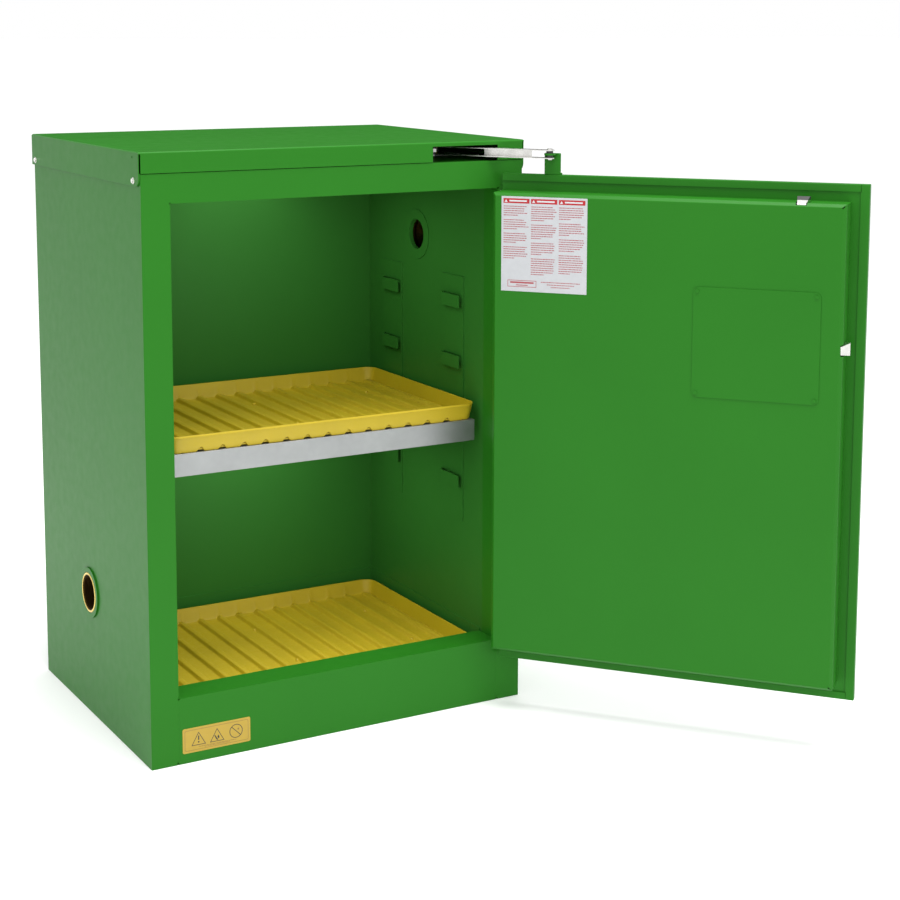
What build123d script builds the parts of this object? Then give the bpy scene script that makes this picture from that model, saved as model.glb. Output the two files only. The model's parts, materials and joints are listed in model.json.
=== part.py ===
from build123d import *
import math
import os

# Flammable storage cabinet: a double-walled sheet steel box with one self-closing door.
# Frame: origin on the floor at the centre of the box, +X to the right, +Z up, front towards -Y.

# ---------------------------------------------------------------- driving dimensions (mm)
WIDTH = 600.0               # outer width of the box
DEPTH = 467.0               # outer depth of the box
BODY_TOP = 832.0            # top of the deck, under the cap cover
HEIGHT = 862.0              # top of the cap cover
SHEET = 1.2                 # 18 gauge steel sheet
AIR_GAP = 37.6              # air space between the two walls
BACK_INSET = 7.5            # the outer back panel sits this far inside the rear edge
CUT = 1.0                   # overshoot of cutting shapes
WALL_CUT = 5.0              # reach of a hole to each side of a wall

STILE_WIDTH = 41.5          # face of each front stile
SILL_TOP = 95.7             # top of the leak-proof sill
SILL_DEPTH = 49.5           # front face to the rear edge of the sill
OPENING_TOP = 791.0         # lower edge of the top rail
JAMB_DEPTH = 40.5           # depth of the stile's return into the opening
RAIL_RETURN = 21.5          # front face to the front edge of the deck
REAR_RETURN = 20.0          # flanges of the sides behind the back panel
SUMP_FLOOR = 61.0           # upper face of the liquid-tight floor
SUMP_WALL_TOP = 100.0       # top of the sump's upstanding walls
BASE_FLANGE = 20.0          # upturned edges of the outer bottom panel
RELIEF_R = 1.6              # drilled corner reliefs of the opening
SEAM_NOTCH = (1.2, 3.6)     # notch at the foot of each stile, beyond the sill's end
SEAM_NOTCH_HEIGHT = 3.5
SPACER_WIDTH = 25.0         # channel spacers between the walls
SPACER_Z = (330.0, 560.0)
SPACER_X = (-120.0, 95.0)

CAP_OVERHANG = 2.8          # cap cover beyond each side
CAP_FRONT = 1.0             # cap cover beyond the front
CAP_BACK = 3.0              # cap cover beyond the rear edge
CAP_SIDE_DROP = 47.0        # side flanges of the cap cover
CAP_FRONT_DROP = 29.2       # front flange of the cap cover
CAP_BEND = 3.0              # outer radius of the cap's top edges
CAP_HEM = 18.0              # folded hem along the side flanges
CAP_CORNER_R = 12.0         # rounded lower corner of the side flanges
CAP_CORNER_GAP = 3.0        # open corner between the front and side flanges
CAP_HOLE = (-210.8, 854.0)  # Y and Z of the jig hole near each front corner
CAP_HOLE_R = 1.5
CAP_SCREW_Y = (-214.5, 218.0)
CAP_SCREW_Z = 822.5
SLOT_X = (147.0, 257.0)     # closer slot in the cap cover's front flange
SLOT_TOP = 855.5
SCREW_R = 2.2
SCREW_WASHER_R = 4.6
SCREW_WASHER = 0.8
SCREW_HEX_R = 3.7
SCREW_HEX = 2.0

SHELF_TOP = 433.0           # upper face of the shelf
SHELF_HALF = 247.0
SHELF_Y = (-187.0, 163.0)
SHELF_FLANGE = 32.5         # depth of the shelf's front flange
SHELF_LIP = 11.0            # inward lip under the front and rear flanges
SHELF_SIDE = 4.8            # depth of the shelf's side flanges
HOOK_SHEET = 2.5            # shelf hangers
HOOK_HALF = 20.0
HOOK_ROOT = 14.0            # hanger's root from the shelf's side edge
HOOK_DROP = 14.5            # tongue below the top of its tab
HOOK_GAP = (2.6, 5.4)       # tongue's faces from the inner wall
TRAY_HEIGHT = 25.5
TRAY_HALF = (244.5, 251.0)  # half width at the floor and at the rim
TRAY_DEPTH = (338.0, 350.5) # depth at the floor and at the rim
TRAY_WALL = 2.2
TRAY_CORNER = 14.0
TRAY_RIBS = 15
TRAY_RIB_PITCH = 33.3
RIB_OUTSIDE = (15.0, 7.0, 7.4)  # base, crest and height of a rib
RIB_HOLLOW = (11.5, 3.6, 6.2)   # the same for the groove under it
SHELF_TRAY_Y = -14.2        # centre of the upper tray
FLOOR_TRAY_Y = -6.0         # centre of the lower tray

STANDARD_Y = (-98.0, 102.0) # centres of the front and rear shelf standards
STANDARD_Z = (258.0, 645.0)
STANDARD_WIDTH = 67.0
STANDARD_SHEET = 1.5
TAB_BOTTOM = 311.0          # lowest hanger tab
TAB_PITCH = 95.0
TAB_HEIGHT = 19.5
TAB_COUNT = 4
TAB_REACH = 6.5             # tab's face from the strip
TAB_HALF = 30.0
TAB_SLOPE = 6.0             # length of the tab's sloped root
TAB_WINDOW = 28.0           # half the opening behind a tab

HINGE_X = 259.0             # axis of the piano hinge
HINGE_Y = -240.0
DOOR_OPEN = 130.0           # opening angle of the modelled rest position, in degrees
HINGE_Z = (101.0, 786.8)
KNUCKLES = 27
KNUCKLE_GAP = 0.1           # end play of each knuckle
BARREL_R = 3.0
HINGE_PIN_R = 1.5
LEAF = 0.9                  # thickness of the hinge leaves
LEAF_DEPTH = 28.0

SKIN_X = (-280.4, 255.4)    # outer door skin, door closed
SKIN_Z = (73.0, 814.0)
SKIN_DEPTH = 12.0
DOOR_GAP = 1.2              # skin lip to the frame's front face
LIP = 10.5                  # top and bottom lips of the skin
LIP_LATCH = 12.5            # latch-side lip of the skin
LIP_SLIT = 0.8              # open joint between two lips
LIP_REVEAL = 0.8            # joggle of the pan's flange behind the lips
LIP_LAP = 3.0               # the joggle starts this far under the lips
FLANGE_PLAY = 0.2           # pan's flange to the skin's returns
PAN_X = (-255.3, 255.4)     # raised inner pan, door closed
PAN_Z = (97.7, 789.2)
PAN_FACE_Y = -192.0
PAN_CHAMFER = 4.5
PAN_CHAMFER_INSIDE = 3.8
PAN_SLIT = (8.5, 6.0, 1.5)  # mitre slit in a corner of the pan
PAN_SLIT_INSET = 3.0

LATCH_X = -173.0            # axis of the turn handle, door closed
LATCH_Z = 606.0
CRANK_R = 20.0              # cam pins to the handle's axis
LATCH_TURN = 40.0           # travel of the handle, in degrees
BOLT_Y = (-217.0, -195.0)
BOLT_HALF = (9.5, 6.0)      # half width of a bolt at its two faces
BOLT_THROW = 7.5            # how far the bolts stand out of the pan
BOLT_LENGTH = 31.5
BOLT_SLOPE = 9.0            # slam bevel along the bolt
BOLT_NOSE = 4.0             # flat end of the bevelled bolt
BOLT_HOLE_Y = (-219.0, -201.0)  # holes for the bolts in the frame and the strikes
BOLT_MARGIN = 1.5           # play of a bolt in the pan's wall
GUIDE_PLAY = 0.4
GUIDE_WALL = 2.0
GUIDE_X = (4.5, 14.0)       # bolt guides behind the pan's side walls
STRIKE = 1.5                # thickness of the strikes
STRIKE_HALF = 28.0
ROD_HALF = 5.0              # half width of the latch rods
ROD_EYE = 7.0               # half width of the rods' eyes
CRANK_PIN_R = 2.5
CRANK_PLAY = 0.4            # rod slot round a cam pin
CRANK_SWAY = 1.5            # extra slot length for the pin's arc
SPINDLE_R = 8.0
BORE_PLAY = 0.05
CAM_R = 26.0
CAM_Y = (-219.0, -216.0)
TOP_ROD_Y = (-215.5, -212.5)
SIDE_ROD_Y = (-211.9, -208.9)
CASE_Y = (-222.2, -220.2)   # plate of the latch case
CASE_X = (-40.0, 34.0)      # latch case from the handle's axis
CASE_HALF = 34.0
CASE_SHEET = 2.0

ROSETTE = (26.0, 34.0)      # half width and half height of the handle's plate
ROSETTE_SHEET = 3.0
ROSETTE_BORE = 9.0
ROSETTE_SCREW = 27.0        # plate screws above and below the axis
HUB_R = 17.0
HUB_LENGTH = 12.0
HUB_GAP = 0.3               # hub to plate
GRIP_HALF = 11.0
GRIP_Z = (-118.0, -18.0)    # grip from the handle's axis
GRIP_Y = (-20.0, -8.0)      # grip from the hub's outer face
NECK_HALF = 9.0
NECK_Z = (-30.0, -8.0)
NECK_Y = (-10.0, 6.0)
LOCK_SEAT = 9.0             # depth of the lock's bore in the hub
LOCK_PROUD = 1.5
LOCK_LENGTH = 10.2
KEYWAY = (0.9, 4.5, 4.0)    # half width, half height and depth

COVER_X = (-224.7, -45.0)   # latch cover plate, door closed
COVER_Z = (508.0, 666.0)
COVER_CORNER = 8.0
COVER_LAP = 12.0            # cover plate over the edge of its opening
RIVET_INSET = 6.0
RIVET_R = 2.8
RIVET_HEAD = 1.4
PLATE_SCREW_R = 3.4
PLATE_SCREW_HEAD = 1.6

LINK_LENGTH = 190.0         # closer link, pin to pin
LINK_HALF = 7.0             # half the width of the link's flanges
LINK_SHEET = 1.5
LINK_WEB = (31.0, 108.0)    # the web's ends from the door bracket's pin
LINK_ANGLE = 34.0           # link direction, left of +Y
LINK_Z = (838.0, 851.0)
LINK_PLAY = 0.2             # bushes to the link's flanges
BRACKET_PIN = (-80.0, 14.5) # door bracket's pin from the hinge axis, door closed
BRACKET_X = (-94.0, -69.0)  # door bracket from the hinge axis, door closed
BRACKET_SHEET = 2.5
EAR_R = 8.0
EAR_Z = (843.2, 845.8)
LEVER_Z = (842.0, 847.0)
LEVER_HALF = 8.0
PIN_R = 3.0
PIN_HOLE_R = 3.05
FREE_HOLE_R = 3.3           # the one loose pivot of the closed linkage
PIN_HEAD_R = 4.0
PIN_HEAD = 1.3
PIN_PLAY = 0.4
BUSH_R = 5.0
HUB_BORE_R = 8.05           # the lever's hub on its stud
LEVER_HUB_R = 12.5
LEVER_HUB_Z = (837.1, 853.0)
STUD_R = 8.0
STUD_COLLAR = (12.0, 1.7)
STUD_HEAD = (11.0, 2.7)
BASE_X = (118.0, 268.0)     # closer's base plate on the deck
BASE_Y = (-112.0, -26.0)
BASE_SHEET = 3.0
SPRING_R = 15.6
SPRING_WIRE_R = 1.1
SPRING_RISE = 1.3
SPRING_PITCH = 2.8
SPRING_HEIGHT = 4.2
FUSE_X = (200.0, 246.0)     # posts of the fusible link
FUSE_Y = -68.0
FUSE_POST = (3.5, 14.0)
FUSE_STRIP = (6.0, 8.0, 10.0)   # half width, and lower and upper face above the base plate

VENT_LOW = (15.0, 188.5)    # Y and Z of the left vent
VENT_HIGH = (20.0, 697.0)   # Y and Z of the right vent
VENT_R = 25.4               # free radius of a 2 inch vent
VENT_COLLAR_R = 30.0
VENT_HOLE_R = 31.0          # hole in both walls
VENT_FIT = 0.2              # arrester in its collar
COLLAR_R = 32.5
COLLAR_NECK_R = 30.9        # collar where it passes the outer wall
FLANGE_R = 38.0
FLANGE = 2.5
RING_R = (24.0, 40.0)       # ring on the inner wall
RING_SHEET = 1.5
RING_NECK_R = 29.7
RING_NECK = 6.0
ARRESTER_START = 8.0        # arrester's inner end behind the inner wall
ARRESTER_PROUD = 2.9
BAFFLE = (12.0, 14.0)
BAFFLE_ROWS = ((7.0, 6), (13.0, 12), (19.5, 18))
BAFFLE_HOLE_R = 1.6
PLUG_DEPTH = 20.0
PLUG_FLOOR = 2.0
PLUG_CAP = (33.0, 5.0)
PLUG_KEY = (11.0, 8.5)

GROUND_STUD = (150.0, 48.0) # Y and Z of the earthing stud on the right side
GROUND_STUD_R = 3.0
GROUND_STUD_X = (-6.0, 18.0)    # its ends from the outer face
GROUND_HOLE_R = 3.1
GROUND_WASHER = (8.0, 1.5)
NUT_R = 5.8
OUTER_NUT = 5.0
INNER_NUT = 4.0

LABEL = 0.3                 # thickness of the label films
CAUTION_X = (-254.0, -151.0)
CAUTION_Z = (14.3, 50.5)
CAUTION_CORNER = 2.5
DOOR_LABEL_X = (111.4, 241.2)
DOOR_LABEL_Z = (645.5, 784.5)

# ---------------------------------------------------------------- derived dimensions
HALF_W = WIDTH / 2
FRONT = -DEPTH / 2
REAR = DEPTH / 2
OPENING_HALF = HALF_W - STILE_WIDTH
INNER_HALF = HALF_W - 2 * SHEET - AIR_GAP
OUTER_BACK = REAR - BACK_INSET
INNER_BACK = OUTER_BACK - 2 * SHEET - AIR_GAP
JAMB_END = FRONT + JAMB_DEPTH
INNER_START = JAMB_END - 7.0            # front edge of the inner walls
CAP_HALF = HALF_W + CAP_OVERHANG
LIP_Y = FRONT - DOOR_GAP
SKIN_FACE_Y = LIP_Y - SKIN_DEPTH
TOP_BOLT_X = LATCH_X - CRANK_R
SIDE_BOLT_Z = LATCH_Z - CRANK_R
BOLT_HOLE_HALF = BOLT_HALF[0] + 2.5
DECK_BOTTOM = BODY_TOP - SHEET
CEILING = OPENING_TOP + SHEET + 0.2     # lower face of the inner top panel
HUB_Y = (SKIN_FACE_Y - ROSETTE_SHEET - HUB_GAP - HUB_LENGTH, SKIN_FACE_Y - ROSETTE_SHEET - HUB_GAP)
BASE_TOP = BODY_TOP + BASE_SHEET
COVER_FACE_Y = PAN_FACE_Y + SHEET

PARTS = {}


# ---------------------------------------------------------------- helpers
def block(x, y, z):
    """Box between two corners; each argument is a (low, high) pair."""
    size = [max(pair) - min(pair) for pair in (x, y, z)]
    middle = [(pair[0] + pair[1]) / 2 for pair in (x, y, z)]
    return Pos(*middle) * Box(*size)


def rod(centre, axis, radius, low, high):
    """Cylinder along one axis between low and high; centre gives the other two coordinates."""
    length = high - low
    middle = (low + high) / 2
    if axis == "X":
        return Pos(middle, *centre) * Rot(0, 90, 0) * Cylinder(radius, length)
    if axis == "Y":
        return Pos(centre[0], middle, centre[1]) * Rot(90, 0, 0) * Cylinder(radius, length)
    return Pos(*centre, middle) * Cylinder(radius, length)


def tube(centre, axis, outer, inner, low, high):
    return rod(centre, axis, outer, low, high) - rod(centre, axis, inner, low - CUT, high + CUT)


def prism(points, length, along, both=False):
    """Straight bar with the outline given by the points."""
    return extrude(make_face(Polyline(*points, close=True)), length, dir=along, both=both)


def around(middle, half):
    """The (low, high) pair around a middle."""
    return (middle - half, middle + half)


def moved(offsets, origin):
    """The (low, high) pair of two offsets from an origin."""
    return (origin + offsets[0], origin + offsets[1])


def mirrored(side, span):
    """The (low, high) pair for a span given on the right side."""
    return tuple(sorted((side * span[0], side * span[1])))


def side_hexagon(side, x, spot, radius, height):
    """Hexagonal head or nut on a side wall, standing outwards from x."""
    outline = Plane.YZ * RegularPolygon(radius, 6)
    return extrude(Pos(side * x, *spot) * outline, height, dir=(side, 0, 0))


def turned(vector, angle):
    """Plan vector turned anticlockwise by an angle in degrees."""
    turn = math.radians(angle)
    x = vector[0] * math.cos(turn) - vector[1] * math.sin(turn)
    y = vector[0] * math.sin(turn) + vector[1] * math.cos(turn)
    return (x, y)


def crank_point(angle):
    """Centre of a cam pin, seen on the closed door."""
    turn = math.radians(angle)
    return (LATCH_X - CRANK_R * math.cos(turn), LATCH_Z + CRANK_R * math.sin(turn))


def swing(shape):
    """Carries a shape built with the door closed to the open rest position."""
    hinge = Pos(HINGE_X, HINGE_Y, 0)
    return hinge * Rot(0, 0, DOOR_OPEN) * hinge.inverse() * shape


def keep(name, shape):
    PARTS[name] = shape


def group(shapes):
    return Compound(children=list(shapes))


# ---------------------------------------------------------------- derived points
TOP_CRANK = crank_point(LATCH_TURN / 2)
SIDE_CRANK = crank_point(LATCH_TURN / 2 - 90)
LINK_VECTOR = turned((0, LINK_LENGTH), LINK_ANGLE)
CRANK = turned(BRACKET_PIN, DOOR_OPEN)
PIVOT = (HINGE_X + LINK_VECTOR[0], HINGE_Y + LINK_VECTOR[1])
OUTER_PIN = (HINGE_X + CRANK[0], HINGE_Y + CRANK[1])
INNER_PIN = (PIVOT[0] + CRANK[0], PIVOT[1] + CRANK[1])
LEVER_LENGTH = math.hypot(*CRANK)
BRACKET_PIN_CLOSED = (HINGE_X + BRACKET_PIN[0], HINGE_Y + BRACKET_PIN[1])


# ---------------------------------------------------------------- outer shell
def corner_reliefs(z):
    """Drilled holes at two corners of the opening, through the front sheets."""
    span = (FRONT - CUT, FRONT + SHEET + CUT)
    return rod((-OPENING_HALF, z), "Y", RELIEF_R, *span) + rod((OPENING_HALF, z), "Y", RELIEF_R, *span)


def outer_side(side):
    vent = VENT_LOW if side < 0 else VENT_HIGH
    through = mirrored(side, around(HALF_W, WALL_CUT))
    wall = block(mirrored(side, (HALF_W - SHEET, HALF_W)), (FRONT + SHEET, REAR), (0, BODY_TOP))
    stile = block(mirrored(side, (OPENING_HALF, HALF_W)), (FRONT, FRONT + SHEET), (0, OPENING_TOP))
    jamb = block(mirrored(side, (OPENING_HALF, OPENING_HALF + SHEET)), (FRONT + SHEET, JAMB_END),
                 (SILL_TOP, OPENING_TOP))
    rear_return = block(mirrored(side, (HALF_W - REAR_RETURN, HALF_W - SHEET)), (REAR - SHEET, REAR),
                        (0, BODY_TOP))
    shape = wall + stile + jamb + rear_return
    shape -= corner_reliefs(OPENING_TOP)
    shape -= corner_reliefs(SILL_TOP)
    shape -= block(mirrored(side, moved(SEAM_NOTCH, OPENING_HALF)), (FRONT - CUT, FRONT + SHEET),
                   (-CUT, SEAM_NOTCH_HEIGHT))
    shape -= rod(vent, "X", VENT_HOLE_R, *through)
    if side > 0:
        shape -= rod(GROUND_STUD, "X", GROUND_HOLE_R, *through)
    else:
        shape -= block(around(-OPENING_HALF, WALL_CUT), BOLT_HOLE_Y, around(SIDE_BOLT_Z, BOLT_HOLE_HALF))
    return shape


def outer_back():
    panel = block((-HALF_W + SHEET, HALF_W - SHEET), (OUTER_BACK - SHEET, OUTER_BACK), (SHEET, DECK_BOTTOM))
    for side in (-1, 1):
        panel += block(mirrored(side, (HALF_W - 2 * SHEET, HALF_W - SHEET)), (OUTER_BACK, REAR - SHEET),
                       (SHEET, DECK_BOTTOM))
    return panel


def base_panel():
    """Outer bottom panel, flat on the floor, with upturned side and rear edges."""
    back = OUTER_BACK - SHEET
    panel = block((-HALF_W + SHEET, HALF_W - SHEET), (FRONT + SHEET, back), (0, SHEET))
    panel += block((-HALF_W + SHEET, HALF_W - SHEET), (back - SHEET, back), (SHEET, BASE_FLANGE))
    for side in (-1, 1):
        panel += block(mirrored(side, (HALF_W - 2 * SHEET, HALF_W - SHEET)), (FRONT + SHEET, back),
                       (SHEET, BASE_FLANGE))
    return panel


def top_deck():
    return block((-HALF_W + SHEET, HALF_W - SHEET), (FRONT + RAIL_RETURN, OUTER_BACK), (DECK_BOTTOM, BODY_TOP))


def top_rail():
    face = block((-HALF_W, HALF_W), (FRONT, FRONT + SHEET), (OPENING_TOP, BODY_TOP))
    upper = block((-HALF_W + SHEET, HALF_W - SHEET), (FRONT + SHEET, FRONT + RAIL_RETURN),
                  (DECK_BOTTOM, BODY_TOP))
    lower = block((-OPENING_HALF, OPENING_HALF), (FRONT + SHEET, JAMB_END), (OPENING_TOP, OPENING_TOP + SHEET))
    slot = block(around(TOP_BOLT_X, BOLT_HOLE_HALF), BOLT_HOLE_Y, around(OPENING_TOP, WALL_CUT))
    return face + upper + lower - slot - corner_reliefs(OPENING_TOP)


def sill_panel():
    x = (-OPENING_HALF + 0.1, OPENING_HALF - 0.1)
    back = FRONT + SILL_DEPTH
    face = block(x, (FRONT, FRONT + SHEET), (0, SILL_TOP))
    ledge = block(x, (FRONT + SHEET, back), (SILL_TOP - SHEET, SILL_TOP))
    drop = block(x, (back - SHEET, back), (SUMP_FLOOR, SILL_TOP - SHEET))
    return face + ledge + drop - corner_reliefs(SILL_TOP)


def cap_cover():
    """Lid with side flanges hemmed along the bottom, open front corners and a slot for the closer's link."""
    front = FRONT - CAP_FRONT
    front_inside = front + SHEET
    back = REAR + CAP_BACK
    low = HEIGHT - CAP_SIDE_DROP
    front_low = HEIGHT - CAP_FRONT_DROP
    outer = block((-CAP_HALF, CAP_HALF), (front, back), (low, HEIGHT))
    outer = fillet(outer.faces().sort_by(Axis.Z)[-1].edges(), CAP_BEND)
    inner = block((-CAP_HALF + SHEET, CAP_HALF - SHEET), (front_inside, back - SHEET),
                  (low - CUT, HEIGHT - SHEET))
    inner = fillet(inner.faces().sort_by(Axis.Z)[-1].edges(), CAP_BEND - SHEET)
    shape = outer - inner
    shape -= block((-CAP_HALF - CUT, CAP_HALF + CUT), (front - CUT, front_inside), (low - CUT, front_low))
    for side in (-1, 1):
        beyond = CAP_HALF + CUT
        shape += block(mirrored(side, (CAP_HALF - 2 * SHEET, CAP_HALF - SHEET)), (front_inside, back - SHEET),
                       (low, low + CAP_HEM))
        shape -= block(mirrored(side, (CAP_HALF - CAP_CORNER_GAP, beyond)), (front - CUT, front_inside),
                       (low - CUT, HEIGHT - CAP_BEND))
        span = mirrored(side, (CAP_HALF - CAP_CORNER_GAP, beyond))
        centre = (front_inside + CAP_CORNER_R, low + CAP_CORNER_R)
        corner = block(span, (front_inside, centre[0]), (low, centre[1]))
        shape -= corner - rod(centre, "X", CAP_CORNER_R, *span)
        for y in CAP_SCREW_Y:
            shape -= rod((y, CAP_SCREW_Z), "X", SCREW_R + 0.1, *mirrored(side, around(CAP_HALF, WALL_CUT)))
        shape -= rod(CAP_HOLE, "X", CAP_HOLE_R, *mirrored(side, around(CAP_HALF, WALL_CUT)))
    shape -= block(SLOT_X, (front - CUT, front_inside + CUT), (front_low - CUT, SLOT_TOP))
    return shape


def cap_screws():
    """Hexagon washer head screws through the cap's side flanges."""
    screws = []
    for side, y in [(side, y) for side in (-1, 1) for y in CAP_SCREW_Y]:
        spot = (y, CAP_SCREW_Z)
        washer = rod(spot, "X", SCREW_WASHER_R, *mirrored(side, (CAP_HALF, CAP_HALF + SCREW_WASHER)))
        shank = rod(spot, "X", SCREW_R, *mirrored(side, (HALF_W, CAP_HALF)))
        head = side_hexagon(side, CAP_HALF + SCREW_WASHER, spot, SCREW_HEX_R, SCREW_HEX)
        screws.append(washer + shank + head)
    return group(screws)


# ---------------------------------------------------------------- inner shell
def inner_side(side):
    vent = VENT_LOW if side < 0 else VENT_HIGH
    wall = block(mirrored(side, (INNER_HALF, INNER_HALF + SHEET)), (INNER_START, INNER_BACK),
                 (SUMP_FLOOR - SHEET, CEILING + SHEET))
    return wall - rod(vent, "X", VENT_HOLE_R, *mirrored(side, around(INNER_HALF, WALL_CUT)))


def inner_back():
    half = INNER_HALF + SHEET
    return block((-half, half), (INNER_BACK, INNER_BACK + SHEET), (SUMP_FLOOR - SHEET, CEILING + SHEET))


def inner_top():
    return block((-INNER_HALF, INNER_HALF), (INNER_START, INNER_BACK), (CEILING, CEILING + SHEET))


def sump_pan():
    front = FRONT + SILL_DEPTH
    inner = INNER_HALF - SHEET
    floor = block((-INNER_HALF, INNER_HALF), (front, INNER_BACK), (SUMP_FLOOR - SHEET, SUMP_FLOOR))
    back = block((-inner, inner), (INNER_BACK - SHEET, INNER_BACK), (SUMP_FLOOR, SUMP_WALL_TOP))
    lip = block((-inner, inner), (front, front + SHEET), (SUMP_FLOOR, SILL_TOP - 2))
    shape = floor + back + lip
    for side in (-1, 1):
        shape += block(mirrored(side, (inner, INNER_HALF)), (front, INNER_BACK), (SUMP_FLOOR, SUMP_WALL_TOP))
    return shape


def hat(x, y, z, across):
    """Open channel spacer: a web that bridges the air gap along one axis, and a flange on each wall."""
    if across == "X":
        web = block(x, y, (z[0], z[0] + SHEET))
        flanges = [block((edge, edge + SHEET), y, z) for edge in (x[0], x[1] - SHEET)]
    else:
        web = block((x[0], x[0] + SHEET), y, z)
        flanges = [block(x, (edge, edge + SHEET), z) for edge in (y[0], y[1] - SHEET)]
    return web + flanges[0] + flanges[1]


def wall_spacers():
    """Channels between the walls: two level ones on each side and two upright ones at the back."""
    level_y = (-150, 170)
    upright_z = (150, 740)
    spacers = []
    for side, z in [(side, z) for side in (-1, 1) for z in SPACER_Z]:
        x = mirrored(side, (INNER_HALF + SHEET, HALF_W - SHEET))
        spacers.append(hat(x, level_y, (z, z + SPACER_WIDTH), "X"))
    for x in SPACER_X:
        spacers.append(hat((x, x + SPACER_WIDTH), (INNER_BACK + SHEET, OUTER_BACK - SHEET), upright_z, "Y"))
    return group(spacers)


# ---------------------------------------------------------------- shelf standards
def shelf_standard(side, y):
    """Formed strip, welded to an inner side wall, with lanced hanger tabs that are open towards the front."""
    face = INNER_HALF - STANDARD_SHEET
    strip = block(mirrored(side, (face, INNER_HALF)), around(y, STANDARD_WIDTH / 2), STANDARD_Z)
    outer = [(face, TAB_HALF), (face - TAB_REACH, TAB_HALF - TAB_SLOPE), (face - TAB_REACH, -TAB_HALF)]
    back = TAB_REACH - STANDARD_SHEET
    inner = [(face - back, -TAB_HALF), (face - back, TAB_HALF - TAB_SLOPE - 0.6), (face, TAB_HALF - 1.8)]
    outline = [(side * px, y + py) for px, py in outer + inner]
    for i in range(TAB_COUNT):
        low = TAB_BOTTOM + i * TAB_PITCH
        window = (low, low + TAB_HEIGHT)
        strip -= block(mirrored(side, (face - CUT, INNER_HALF + CUT)), around(y, TAB_WINDOW), window)
        strip += Pos(0, 0, low) * prism(outline, TAB_HEIGHT, (0, 0, 1))
    return strip


# ---------------------------------------------------------------- vents
def vent_bung(side, vent):
    """Tube that joins both walls, with a flange on the outer wall."""
    bore = VENT_COLLAR_R + VENT_FIT
    collar = tube(vent, "X", COLLAR_R, bore, *mirrored(side, (INNER_HALF + SHEET, HALF_W - SHEET)))
    flange = tube(vent, "X", FLANGE_R, bore, *mirrored(side, (HALF_W, HALF_W + FLANGE)))
    neck = tube(vent, "X", COLLAR_NECK_R, bore, *mirrored(side, (HALF_W - SHEET, HALF_W)))
    return collar + neck + flange


def vent_inner_ring(side, vent):
    plate = tube(vent, "X", RING_R[1], RING_R[0], *mirrored(side, (INNER_HALF - RING_SHEET, INNER_HALF)))
    neck = tube(vent, "X", RING_NECK_R, RING_R[0], *mirrored(side, (INNER_HALF, INNER_HALF + RING_NECK)))
    return plate + neck


def flame_arrester(side, vent, mouth):
    """Cup with a perforated baffle; the open mouth takes the vent pipe or the plug."""
    cup = tube(vent, "X", VENT_COLLAR_R, VENT_R, *mirrored(side, (INNER_HALF + ARRESTER_START, mouth)))
    span = moved(BAFFLE, INNER_HALF)
    baffle = rod(vent, "X", VENT_R, *mirrored(side, span))
    for ring, count in BAFFLE_ROWS:
        for i in range(count):
            turn = 2 * math.pi * i / count
            hole = (vent[0] + ring * math.cos(turn), vent[1] + ring * math.sin(turn))
            baffle -= rod(hole, "X", BAFFLE_HOLE_R, *mirrored(side, (span[0] - CUT, span[1] + CUT)))
    return cup + baffle


def vent_plug(side, vent):
    """Screwed plug with a square key, hollow on the inside."""
    flange_face = HALF_W + FLANGE
    cap_face = flange_face + PLUG_CAP[1]
    key_side = PLUG_KEY[0]
    body = rod(vent, "X", VENT_COLLAR_R, *mirrored(side, (HALF_W - PLUG_DEPTH, flange_face)))
    body -= rod(vent, "X", VENT_R, *mirrored(side, (HALF_W - PLUG_DEPTH - CUT, HALF_W - PLUG_FLOOR)))
    cap = rod(vent, "X", PLUG_CAP[0], *mirrored(side, (flange_face, cap_face)))
    key = block(mirrored(side, (cap_face, cap_face + PLUG_KEY[1])), around(vent[0], key_side),
                around(vent[1], key_side))
    return body + cap + key


# ---------------------------------------------------------------- shelf and trays
def shelf_pan():
    x = (-SHELF_HALF, SHELF_HALF)
    low = SHELF_TOP - SHELF_FLANGE
    deck = block(x, SHELF_Y, (SHELF_TOP - SHEET, SHELF_TOP))
    for y, inward in ((SHELF_Y[0], 1), (SHELF_Y[1], -1)):
        flange = (y, y + inward * SHEET)
        lip = (y + inward * SHEET, y + inward * SHELF_LIP)
        deck += block(x, flange, (low, SHELF_TOP - SHEET))
        deck += block(x, lip, (low, low + SHEET))
    for side in (-1, 1):
        edge = mirrored(side, (SHELF_HALF - SHEET, SHELF_HALF))
        deck += block(edge, (SHELF_Y[0] + SHEET, SHELF_Y[1] - SHEET), (SHELF_TOP - SHELF_SIDE, SHELF_TOP - SHEET))
    return deck


def shelf_hooks():
    """Four hangers under the shelf's side edges; each tongue drops behind a hanger tab."""
    rest = TAB_BOTTOM + TAB_PITCH + TAB_HEIGHT
    root = SHELF_HALF - HOOK_ROOT
    hooks = []
    for side, y in [(side, y) for side in (-1, 1) for y in STANDARD_Y]:
        span = around(y, HOOK_HALF)
        arm = block(mirrored(side, (root, INNER_HALF - HOOK_GAP[0])), span, (rest, rest + HOOK_SHEET))
        riser = block(mirrored(side, (root, root + HOOK_SHEET)), span, (rest + HOOK_SHEET, SHELF_TOP - SHEET))
        tongue = block(mirrored(side, (INNER_HALF - HOOK_GAP[1], INNER_HALF - HOOK_GAP[0])), span,
                       (rest - HOOK_DROP, rest))
        hooks.append(arm + riser + tongue)
    return group(hooks)


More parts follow.
